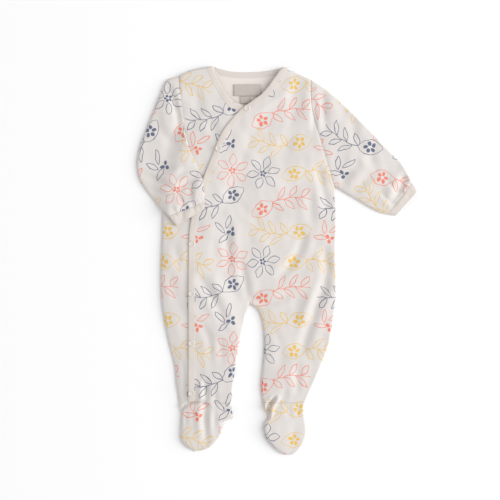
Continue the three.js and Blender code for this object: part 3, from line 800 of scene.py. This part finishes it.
def sweep(node, path, widths, profile, base):
    """A band along a path of x y points. Profile rows are across from -1 to 1 and height in mm."""
    ahead = np.gradient(path, axis=0)
    ahead /= np.linalg.norm(ahead, axis=1)[:, None]
    side = np.column_stack([ahead[:, 1], -ahead[:, 0]])
    reach = widths[:, None] / 2 * profile[None, :, 0]
    plan = path[:, None, :] + side[:, None, :] * reach[..., None]
    height = base(plan[..., 0], plan[..., 1]) + profile[None, :, 1]
    points = np.concatenate([plan, height[..., None]], -1).reshape(-1, 3)
    number = np.arange(len(points)).reshape(height.shape)
    quads = ring_quads(*height.shape)
    faces = [*quads, number[0, ::-1], number[-1]]
    if signed_volume(points, quads) < 0:
        faces = [face[::-1] for face in faces]
    faces = [face.tolist() for face in faces]
    cut = np.column_stack([reach.ravel() + 40, np.repeat(travelled(path), len(profile))])
    return build(node, "plain_cloth", points, faces, cut, np.ones(len(points)), len(quads))


def folded_band(thickness, free, dome=0.12):
    """Profile of a folded band: flat below, round at its free side, level with the panel at the other."""
    rows = [
        (0.97, 0), (0.97, thickness - 0.16), (0.955, thickness - 0.12), (0.9, thickness - 0.08),
        (0.6, thickness + dome / 2), (0, thickness + dome), (-0.5, thickness + dome * 0.6),
    ]
    for angle in np.radians(np.linspace(90, -90, 6)):
        rows.append((-0.86 - 0.14 * math.cos(angle), thickness / 2 * (1 + math.sin(angle))))
    return [(-free * u, z) for u, z in rows]


def popper_places():
    """Places along the middle of the wrap binding, a popper spacing apart."""
    line = beside(wrap_edge, np.arange(FIRST_POPPER_Y, ANKLE_Y, -0.25), BAND / 2)
    return line[np.searchsorted(travelled(line), np.arange(POPPER_COUNT) * POPPER_SPACING)]


POPPERS = popper_places()


# Materials

class Value:
    """An output of a node. Formulas with it are written as in Python, and | is the larger of two."""

    def __init__(self, graph, socket):
        self.graph, self.socket = graph, socket

    def __add__(self, other):
        return self.graph.math("ADD", self, other)

    def __sub__(self, other):
        return self.graph.math("SUBTRACT", self, other)

    def __rsub__(self, other):
        return self.graph.math("SUBTRACT", other, self)

    def __mul__(self, other):
        return self.graph.math("MULTIPLY", self, other)

    def __truediv__(self, other):
        return self.graph.math("DIVIDE", self, other)

    def __or__(self, other):
        return self.graph.math("MAXIMUM", self, other)

    def __abs__(self):
        return self.graph.math("ABSOLUTE", self)


class Graph:
    """Short calls that add nodes to a material or node group and join them."""

    def __init__(self, tree):
        self.tree = tree

    def fill(self, node, inputs):
        """Sets or joins a node's inputs, given by name or number."""
        for key, value in inputs.items():
            if isinstance(value, Value):
                self.tree.links.new(value.socket, node.inputs[key])
            else:
                node.inputs[key].default_value = value

    def node(self, kind, inputs, output=0, **settings):
        """One output of a new node."""
        made = self.tree.nodes.new(kind)
        for key, value in settings.items():
            setattr(made, key, value)
        self.fill(made, inputs)
        return Value(self, made.outputs[output])

    def math(self, operation, *values, clamp=False):
        inputs = dict(enumerate(values))
        return self.node("ShaderNodeMath", inputs, operation=operation, use_clamp=clamp)

    def vector(self, operation, *values):
        output = "Value" if operation == "LENGTH" else "Vector"
        return self.node("ShaderNodeVectorMath", dict(enumerate(values)), output, operation=operation)

    def scaled(self, vector, factor):
        return self.node("ShaderNodeVectorMath", {0: vector, "Scale": factor}, operation="SCALE")

    def mix(self, factor, first, second):
        return self.node("ShaderNodeMix", {"Factor": factor, 6: first, 7: second}, 2, data_type="RGBA")

    def noise(self, vector, scale, detail=2.0, output="Fac"):
        inputs = {"Vector": vector, "Scale": scale, "Detail": detail}
        return self.node("ShaderNodeTexNoise", inputs, output)


LINE = 0.6  # half width of the printed lines, in mm


def motif(name, draw_ink):
    """A node group that turns a place in mm into ink, 0 or 1."""
    group = bpy.data.node_groups.new(name, "ShaderNodeTree")
    group.interface.new_socket("Place", in_out="INPUT", socket_type="NodeSocketVector")
    group.interface.new_socket("Ink", in_out="OUTPUT", socket_type="NodeSocketFloat")
    graph = Graph(group)
    x = graph.node("ShaderNodeSeparateXYZ", {0: graph.node("NodeGroupInput", {})}, "X")
    y = Value(graph, x.socket.node.outputs["Y"])
    graph.fill(group.nodes.new("NodeGroupOutput"), {"Ink": draw_ink(x, y)})
    return group


def below(value, limit, soft=0.25):
    """1 where the value is below the limit, with a soft edge."""
    return value.graph.math("DIVIDE", limit - value, soft, clamp=True)


def length_of(x, y):
    graph = x.graph
    return graph.vector("LENGTH", graph.node("ShaderNodeCombineXYZ", {"X": x, "Y": y}))


def leaf_outline(along_leaf, across, length, width):
    """Outline of a leaf that lies along its axis from its middle, half its length and width given."""
    share = along_leaf / length
    gap = abs(across) - (1 - share * share) * width
    return below(abs(gap), LINE) * below(abs(along_leaf), length + 0.3)


def turned(x, y, turn):
    """Coordinates along and across a direction given in degrees."""
    c, s = math.cos(math.radians(turn)), math.sin(math.radians(turn))
    return x * c + y * s, y * c - x * s


def ring_cell(x, y, count):
    """Coordinates along and across the nearest of the spokes of a ring."""
    graph = x.graph
    half = math.pi / count
    angle = graph.math("WRAP", graph.math("ARCTAN2", y, x), half, -half)
    reach = length_of(x, y)
    return reach * graph.math("COSINE", angle), reach * graph.math("SINE", angle)


def spots(x, y, ring, size, count):
    """Filled spots set in a ring, longer than they are wide."""
    out, side = ring_cell(x, y, count)
    return below(length_of((out - ring) / 1.35, side), size)


def draw_sprig(x, y):
    """A big seed head with spots on a long bent stem, with leaves on both sides in turn."""
    from_bend = x - 10
    lift = y - 4 + from_bend * from_bend * 0.007
    height = abs(lift)
    side = x.graph.math("SIGN", lift)
    cell = x.graph.math("WRAP", x + side * 4.2, 15.2, -1.2)
    along_leaf, across = turned(cell, height, 50)
    from_middle = x - 15
    leaves = leaf_outline(along_leaf - 11, across, 10, 3) * below(abs(from_middle - side * 4), 24)
    stem = below(height, LINE) * below(abs(from_middle), 27)
    head = turned(x + 27, y + 6, 24)
    return stem | leaves | leaf_outline(*head, 18, 10.5) | spots(*head, 5.4, 2.5, 5)


def draw_flower(x, y):
    """A six-petal flower in outline round a ring of spots."""
    out, side = ring_cell(x, y, 6)
    return leaf_outline(out - 15, side, 9, 4.6) | spots(x, y, 3.2, 1.6, 5)


def draw_bud(x, y):
    """Three long leaves that fan out, with three spots."""
    ink = spots(x, y + 8, 4, 2.4, 3)
    for leaf_x, leaf_y, turn in [(11, 3, 12), (-3, 9, 74), (-12, -3, 160)]:
        ink = ink | leaf_outline(*turned(x - leaf_x, y - leaf_y, turn), 10, 3)
    return ink


# Print: the repeat's size in mm, the inks and where each motif lies in the repeat
REPEAT = (184, 124)
INKS = {
    "coral": (0.85, 0.20, 0.125, 1),
    "mustard": (0.80, 0.50, 0.08, 1),
    "slate": (0.07, 0.10, 0.19, 1),
}
LAYOUT = [
    ("sprig", "coral", 46, 20, 9),
    ("sprig", "slate", 138, 18, 192),
    ("sprig", "mustard", 92, 60, -12),
    ("sprig", "mustard", 44, 102, 169),
    ("flower", "slate", 21, 61, 10),
    ("flower", "coral", 162, 64, 25),
    ("bud", "coral", 112, 101, 15),
    ("bud", "slate", 154, 106, 60),
]


def print_colour(graph, place_mm, ground):
    """The ground colour with the repeat's motifs drawn over it."""
    kinds = {"sprig": draw_sprig, "flower": draw_flower, "bud": draw_bud}
    groups = {kind: motif(f"print {kind}", draw_ink) for kind, draw_ink in kinds.items()}
    half = (REPEAT[0] / 2, REPEAT[1] / 2, 1)
    colour = ground
    for ink, value in INKS.items():
        mask = None
        for kind, own_ink, x, y, turn in LAYOUT:
            if own_ink != ink:
                continue
            moved = graph.vector("SUBTRACT", place_mm, (x, y, 0))
            folded = graph.vector("WRAP", moved, half, tuple(-side for side in half))
            inputs = {"Vector": folded, "Angle": math.radians(-turn)}
            own = graph.node("ShaderNodeVectorRotate", inputs, rotation_type="Z_AXIS")
            drawn = graph.node("ShaderNodeGroup", {"Place": own}, "Ink", node_tree=groups[kind])
            mask = mask | drawn if mask else drawn
        colour = graph.mix(mask * 0.9, colour, value)
    return colour


def shader_graph(name):
    """A new material, its graph and its shader."""
    material = bpy.data.materials.new(name)
    material.use_nodes = True
    return material, Graph(material.node_tree), material.node_tree.nodes["Principled BSDF"]


def cloth_material(name, ground, shade, sheen=0.1, bump=0.25, inside=None):
    """Soft cotton cloth: uneven ground colour, nap and sheen, and a print if there is an inside colour."""
    material, graph, shader = shader_graph(name)
    place_mm = graph.scaled(graph.node("ShaderNodeUVMap", {}, uv_map="cut"), 1000)
    colour = graph.mix(graph.noise(place_mm, 0.045, 3), ground, shade)
    if inside:
        wobble = graph.noise(place_mm, 0.09, 1, "Color")
        shift = graph.vector("SUBTRACT", wobble, (0.5, 0.5, 0.5))
        inked = print_colour(graph, graph.vector("ADD", place_mm, graph.scaled(shift, 5)), colour)
        side = graph.node("ShaderNodeAttribute", {}, "Fac", attribute_name="outside")
        colour = graph.mix(below(side, 0.5, 0.1), inked, inside)
    relief = graph.noise(place_mm, 1.6, 3) * 0.6 + graph.noise(place_mm, 0.35, 2)
    graph.fill(shader, {
        "Base Color": colour,
        "Roughness": 0.92,
        "Sheen Weight": sheen,
        "Sheen Roughness": 0.45,
        "Normal": graph.node("ShaderNodeBump", {"Strength": bump, "Distance": 0.0006, "Height": relief}),
    })
    return material


CREAM = (0.745, 0.705, 0.68, 1)
CREAM_SHADE = (0.72, 0.675, 0.645, 1)
PLAIN = (0.735, 0.68, 0.63, 1)
PLAIN_SHADE = (0.70, 0.64, 0.585, 1)
# The unprinted inside's own colour, made lighter than the outer cream as painted light to offset the shade
# in the neck opening.
INSIDE_PAINTED_LIGHTER = (0.815, 0.757, 0.708, 1)
TAUPE = (0.60, 0.55, 0.50, 1)
TAUPE_SHADE = (0.53, 0.48, 0.43, 1)


def popper_material():
    """Cream enamel with a slight gloss."""
    material, graph, shader = shader_graph("popper enamel")
    where = graph.node("ShaderNodeTexCoord", {}, "Object")
    colour = graph.mix(graph.noise(where, 220), (0.75, 0.695, 0.64, 1), (0.71, 0.65, 0.59, 1))
    graph.fill(shader, {"Base Color": colour, "Roughness": 0.34})
    return material


MATERIALS = {
    "print_cloth": cloth_material("print cloth", CREAM, CREAM_SHADE, sheen=0.12, inside=INSIDE_PAINTED_LIGHTER),
    "plain_cloth": cloth_material("plain cloth", PLAIN, PLAIN_SHADE),
    "label_cloth": cloth_material("label cloth", TAUPE, TAUPE_SHADE, bump=0.4),
    "popper": popper_material(),
}


# Pieces

def declare(piece, width, length, area, rests_on, with_pieces=()):
    """Sizes of a laid sheet of cloth, its cut given in mm and its area in square mm: they are turned into
    metres and square metres, and nothing more is done with them.
    """
    width / 1000
    length / 1000
    area / 1e6
    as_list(rests_on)


def grid_area(grid):
    """Plan area of a grid of points."""
    a, b, c, d = grid[:-1, :-1], grid[:-1, 1:], grid[1:, 1:], grid[1:, :-1]
    across, up = c - a, d - b
    return np.abs(across[..., 0] * up[..., 1] - across[..., 1] * up[..., 0]).sum() / 2


def grid_size(grids):
    spread = np.concatenate([grid.reshape(-1, 2) for grid in grids])
    return np.ptp(spread[:, 0]), np.ptp(spread[:, 1])


def declare_grids(piece, grids, rests_on):
    declare(piece, *grid_size(grids), sum(map(grid_area, grids)), rests_on)


OVER_TIP_Y = 327
UNDER_TIP_Y = 331.3
OVER_MIDDLE = along([
    (CROTCH_Y, CROTCH_X), (80, CROTCH_X), (200, 20), (RIGHT_SHOULDER_Y, 66), (OVER_TIP_Y, 60.5),
])
BACK_COLUMNS = 110
LEG_LEVELS = np.linspace(ANKLE_Y, CROTCH_Y, 60)
TORSO_LEVELS = np.linspace(CROTCH_Y, OVER_TIP_Y, 140)


def make_back():
    """Torso and legs in one, lying on the surface, its printed face down."""
    def neck(x):
        return back_neck(x) - BAND / 2 * (1 - ease(np.abs(x), *NECK_BAND_END))

    torso = strip(np.linspace(CROTCH_Y, LEFT_SHOULDER_Y, 136), outer_left,
                  lambda y: outer_right(np.minimum(y, RIGHT_SHOULDER_Y)), fractions(BACK_COLUMNS))
    half = int(np.argmin(np.abs(torso[0, :, 0] - CROTCH_X)))
    torso[0, half, 0] = CROTCH_X
    x, y = torso[..., 0], torso[..., 1]
    shoulder_line = np.where(x < 0, along(flip(LEFT_SHOULDER))(x), along(flip(RIGHT_SHOULDER)[::-1])(x))
    top_line = np.where(np.abs(x) < NECK_HALF, neck(x), shoulder_line)
    lift = ease(y, 262, LEFT_SHOULDER_Y)
    torso[..., 1] = y + (top_line - LEFT_SHOULDER_Y) * lift
    left = strip(LEG_LEVELS, outer_left, left_inseam, fractions(half))
    right = strip(LEG_LEVELS, right_inseam, outer_right, fractions(BACK_COLUMNS - half))
    blend = ease(LEG_LEVELS, -40, CROTCH_Y)[:, None]
    left[..., 0] = left[..., 0] * (1 - blend) + blend * line_up(left, torso[0, : half + 1, 0])
    right[..., 0] = right[..., 0] * (1 - blend) + blend * line_up(right, torso[0, half:, 0])
    grids = [left, right, torso]
    plan, quads = welded(grids)
    distance = distance_to(BACK_EDGES, plan[:, 0], plan[:, 1])
    curl = (SEAM_HEIGHT - GAP) * (1 - rounded(distance, BACK_ROUND))
    groove = np.maximum(creases(BACK_CREASES, plan[:, 0], plan[:, 1]), 0) * rise(distance)
    points = np.column_stack([plan, curl + groove])
    declare_grids(thicken("back", "print_cloth", points, quads[:, ::-1], plan, BACK_WALL), grids, "floor")


def line_up(rows, top_row):
    """Places across each row at the same shares as in the row above them."""
    share = (top_row - top_row[0]) / (top_row[-1] - top_row[0])
    start, end = rows[:, :1, 0], rows[:, -1:, 0]
    return start + (end - start) * share[None, :]


BACK_EDGES = [smooth_line(line) for line in [
    flip(LEFT_SIDE + LEFT_ARMHOLE[1:3]),
    flip(LEFT_SHOULDER),
    flip(RIGHT_SIDE),
    flip(LEFT_INSEAM + RIGHT_INSEAM[-2::-1]),
    flip(RIGHT_SHOULDER),
]]


def make_over_front():
    outer = fractions(56)
    grids = [
        strip(LEG_LEVELS, wrap_panel_edge, left_inseam, fractions(48, soft_start=False)),
        strip(LEG_LEVELS, right_inseam, outer_right, outer),
        strip(TORSO_LEVELS, wrap_panel_edge, OVER_MIDDLE, fractions(48, soft_start=False)),
        strip(TORSO_LEVELS, OVER_MIDDLE, outer_right, outer),
    ]
    piece = panel("over_front", grids, over_front_top)
    declare_grids(piece, grids, ["back_cloth", "under_front_cloth"])


def make_under_front():
    corner = UNDER_NECK_EDGE[0][0]

    def edge(y):
        hidden = np.minimum(wrap_edge(y) + OVERLAP, under_neck_edge(corner))
        return np.where(y < corner, hidden, under_panel_edge(y))

    levels = np.concatenate([np.linspace(ANKLE_Y, corner, 150), np.linspace(corner, UNDER_TIP_Y, 30)[1:]])
    grid = strip(levels, outer_left, edge, fractions(44, soft_end=False))
    declare_grids(panel("under_front", [grid], front_top), [grid], "back_cloth")


def make_sleeves():
    fronts = ["under_front_cloth", "over_front_cloth"]
    for name, table, faces, armhole, turn, rows, rests_on in [
        ("right_sleeve", RIGHT_SLEEVE, right_sleeve_faces, right_side, 42, 90, "floor"),
        ("left_sleeve", LEFT_SLEEVE, forearm_faces, left_side, -25, 110, ["floor", *fronts]),
    ]:
        plan = section_grid(refine(table, rows), fractions(56), armhole)
        piece = tube(name, "print_cloth", plan, faces, turn)
        width, length = grid_size([plan])
        declare(piece, 2 * width, length, 2 * grid_area(plan), rests_on)
    for name, table, faces, rests_on in [
        ("right_cuff", RIGHT_SLEEVE[-1:] + RIGHT_CUFF[1:], right_sleeve_faces, "floor"),
        ("left_cuff", LEFT_SLEEVE[-1:] + LEFT_CUFF[1:], forearm_faces, fronts),
    ]:
        plan = section_grid(refine(table, 12), fractions(40))
        piece = tube(name, "plain_cloth", plan, faces)
        (ax, ay, bx, by), (cx, cy, _, _) = table[0], table[-1]
        width = 2 * math.hypot(bx - ax, by - ay)
        declare(piece, width, math.hypot(cx - ax, cy - ay), 2 * grid_area(plan), rests_on)


def make_feet():
    for name, table, top, turned_sides in [
        ("left_foot", LEFT_FOOT, foot_top(LEFT_FOOT_OUTLINE), (0, -1)),
        ("left_heel", LEFT_HEEL, heel_top, (-1,)),
        ("right_foot", RIGHT_FOOT, foot_top(RIGHT_FOOT_OUTLINE), (0, -1)),
    ]:
        rows = refine(table, 60, soft_end=True)
        tuck = rows[:1] + np.array([[1], [0.6], [0.25]]) * [0, TUCK, 0, TUCK]
        grid = section_grid(np.concatenate([tuck, rows])[::-1], fractions(48))
        piece = panel(name, [grid], top, wall=FOOT_WALL)
        width, length = grid_size([grid])
        edges = path_length(grid[0]) + sum(path_length(grid[:, side]) for side in turned_sides)
        declare(piece, width + TURN_DOWN * len(turned_sides), length + TURN_DOWN,
                grid_area(grid) + TURN_DOWN * edges, f"{name.split('_')[0]}_sole_cloth")
    for name, left, right, outline in [
        ("left_sole", outer_line(LEFT_FOOT), LEFT_FOOT_INNER, LEFT_FOOT_OUTLINE),
        ("right_sole", outer_line(RIGHT_FOOT), inner_line(RIGHT_FOOT), RIGHT_FOOT_OUTLINE),
    ]:
        rows = np.column_stack([refine(left, 60, soft_end=True), refine(right, 60, soft_end=True)])[::-1]
        grid = section_grid(rows, fractions(36))
        plan, quads = welded([grid])
        distance = distance_to(outline[0] + outline[1], plan[:, 0], plan[:, 1])
        curl = (SOLE_HEIGHT - GAP) * (1 - rounded(distance, BACK_ROUND))
        points = np.column_stack([plan, curl])
        declare_grids(thicken(name, "print_cloth", points, quads[:, ::-1], plan, WALL), [grid], "floor")


def bind(name, middle, widths, free, base, rests_on, thickness=BAND_THICKNESS, cut_share=1, row=None):
    """A folded band of plain cloth along a path, with a row of stitches if there is one."""
    piece = sweep(f"{name}_binding", middle, widths, np.array(folded_band(thickness, free)), base)
    length = path_length(middle)
    with_pieces = () if row is None else [stitches(f"{name}_stitches", row)]
    declare(piece, BAND_GIRTH, length, cut_share * BAND_GIRTH * length, rests_on, with_pieces)


def bind_front(name, middle, widths, free, top, row, raised):
    """The band along a front's edge, which covers the edge and is stitched along its other side."""
    row = np.column_stack([row, top(*row.T) + raised])
    bind(name, middle, widths, free, lambda x, y: top(x, y) - BAND_SINK, "under_front_cloth", row=row)


def make_bindings():
    levels = np.linspace(ANKLE_Y, NECK_CORNER_Y - 2, 240)
    middle = beside(wrap_edge, levels, BAND / 2)
    widths = np.minimum(BAND, 2 * (outer_right(levels) - middle[:, 0]) + 2)
    row = beside(wrap_edge, np.linspace(ANKLE_Y + 2, NECK_CORNER_Y - 12, 700), STITCH_LINE)
    bind_front("wrap", middle, widths, -1, over_front_top, row, 0.15)

    start = UNDER_NECK_EDGE[0][0]
    middle = beside(under_neck_edge, np.linspace(start + 3, UNDER_CORNER_Y - 2, 60), -BAND / 2)
    row = beside(under_neck_edge, np.linspace(start + 10, UNDER_CORNER_Y - 8, 120), -STITCH_LINE)
    bind_front("under", middle, np.full(len(middle), BAND), 1, front_top, row, 0.1)

    x = np.linspace(-46, 46, 60)
    widths = BAND * (1 - ease(np.abs(x), *NECK_BAND_END))
    middle = np.column_stack([x, back_neck(x) - widths / 2])
    bind("neck", middle, widths, -1, lambda x, y: 0 * x, "floor", NECK_BAND_THICKNESS, cut_share=0.9)


def stitches(name, path, pitch=2.6, length=1.9, radius=0.24, sides=6):
    """Short thread loops along a path, thinner at both ends."""
    where = travelled(path)
    turn = math.tau * np.arange(sides)[:, None] / sides
    points, faces = [], []
    for start in np.arange(0, where[-1] - length, pitch):
        steps = start + length * np.array([0, 0.25, 0.75, 1])
        centres = np.column_stack([np.interp(steps, where, column) for column in path.T])
        ahead = (centres[-1] - centres[0]) / np.linalg.norm(centres[-1] - centres[0])
        side = np.cross(ahead, (0, 0, 1))
        around = np.cos(turn) * side + np.sin(turn) * np.cross(ahead, side)
        number = len(points) + np.arange(4 * sides)
        for centre, size in zip(centres, (0.4, 1, 1, 0.4)):
            points.extend(centre + radius * size * around)
        faces += [*number[ring_quads(4, sides)], number[sides - 1::-1], number[-sides:]]
    faces = [face.tolist() for face in faces]
    piece = add_mesh(name, "plain_cloth", points, faces)
    piece.data.uv_layers.new(name="cut")
    return finish_piece(piece, "plain_cloth")


# A popper's rings from its middle outwards: radius in mm and share of its height
POPPER_RINGS = [
    (0.9, 0.62), (1.1, 0.5), (2.2, 0.45), (2.6, 0.55), (2.9, 0.95), (3.3, 1.0), (3.8, 0.95), (4.3, 0.7),
    (4.6, 0.35), (4.5, 0.05), (4.2, 0),
]


def make_poppers():
    """Caps with a raised rim and a dished middle."""
    turn = math.tau * np.arange(POPPER_SIDES) / POPPER_SIDES
    radius, share = np.array(POPPER_RINGS).T[..., None]
    rings = np.stack([radius * np.cos(turn), radius * np.sin(turn), share * POPPER_HEIGHT + 0 * turn], -1)
    middles = [(0, 0, POPPER_RINGS[0][1] * POPPER_HEIGHT), (0, 0, 0)]
    cap = np.concatenate([rings.reshape(-1, 3), middles])
    quads = ring_quads(len(POPPER_RINGS), POPPER_SIDES)
    faces = [[len(cap) - 2, *pair] for pair in quads[:POPPER_SIDES, :2].tolist()]
    faces += quads[:, ::-1].tolist()
    faces += [[len(cap) - 1, *pair] for pair in quads[-POPPER_SIDES:, 2:].tolist()]
    bases = over_front_top(*POPPERS.T) + BAND_THICKNESS - BAND_SINK - 0.1
    for number, base in enumerate(np.column_stack([POPPERS, bases]), 1):
        piece = add_mesh(f"popper_{number}_cap", "popper", cap + base, faces)
        finish_piece(piece, "popper", f"popper_{number}")


def make_labels():
    """Woven label and size tab: bare tape, turned under at its ends and slightly bowed."""
    for name, (width, height, x, y), thickness in [("label", LABEL, 0.8), ("size_tab", SIZE_TAB, 0.6)]:
        u = np.linspace(-width / 2, width / 2, 40)
        v = np.linspace(-height / 2, height / 2, 20)
        grid = np.stack(np.meshgrid(x + u, y + v), -1)

        def top(px, py):
            edge = np.minimum(width / 2 - np.abs(px - x), height / 2 - np.abs(py - y))
            bow = 0.35 * np.sin((px - x) / width * 5 + 0.6) * np.cos((py - y) / height * 2)
            return LABEL_RAISED + thickness + bow - 0.3 * (1 - rounded(edge, 0.8))

        piece = panel(name, [grid], top, "label_cloth", wall=thickness - 0.2)
        declare(piece, width, height, width * height, "back_cloth")


def make_stage():
    """A pale floor, soft light from the right, and a camera straight above."""
    material, graph, shader = shader_graph("floor")
    graph.fill(shader, {"Base Color": (0.97, 0.97, 0.975, 1), "Roughness": 0.9})
    mesh = bpy.data.meshes.new("floor")
    reach = 6
    corners = [(-reach, -reach, 0), (reach, -reach, 0), (reach, reach, 0), (-reach, reach, 0)]
    mesh.from_pydata(corners, [], [[0, 1, 2, 3]])
    mesh.materials.append(material)
    floor = add("floor", mesh)
    floor.location.z = -0.0002

    world = bpy.data.worlds.new("studio")
    bpy.context.scene.world = world
    world.use_nodes = True
    background = world.node_tree.nodes["Background"]
    background.inputs["Color"].default_value = (1, 1, 1, 1)
    background.inputs["Strength"].default_value = 0.67

    for name, rise_up, power in [("low_light", 0.42, 170), ("high_light", 1.2, 105)]:
        light = bpy.data.lights.new(name, "AREA")
        light.shape = "DISK"
        light.size = 3.4
        light.energy = power
        lamp = add(name, light)
        direction = Vector((1, 0.02, rise_up)).normalized()
        lamp.location = direction * LAMP_DISTANCE
        lamp.rotation_euler = direction.to_track_quat("Z", "Y").to_euler()

    camera = bpy.data.cameras.new("camera")
    camera.sensor_width = 36
    camera.lens = camera.sensor_width * CAMERA_HEIGHT / (PHOTO_WIDTH_MM / 1000)
    eye = add("camera", camera)
    x, y, _ = place([*PHOTO_CENTRE, 0])
    eye.location = (x, y, CAMERA_HEIGHT)
    bpy.context.scene.camera = eye
    bpy.context.scene.view_settings.view_transform = "Standard"


make_stage()
make_back()
make_under_front()
make_over_front()
make_sleeves()
make_feet()
make_bindings()
make_poppers()
make_labels()
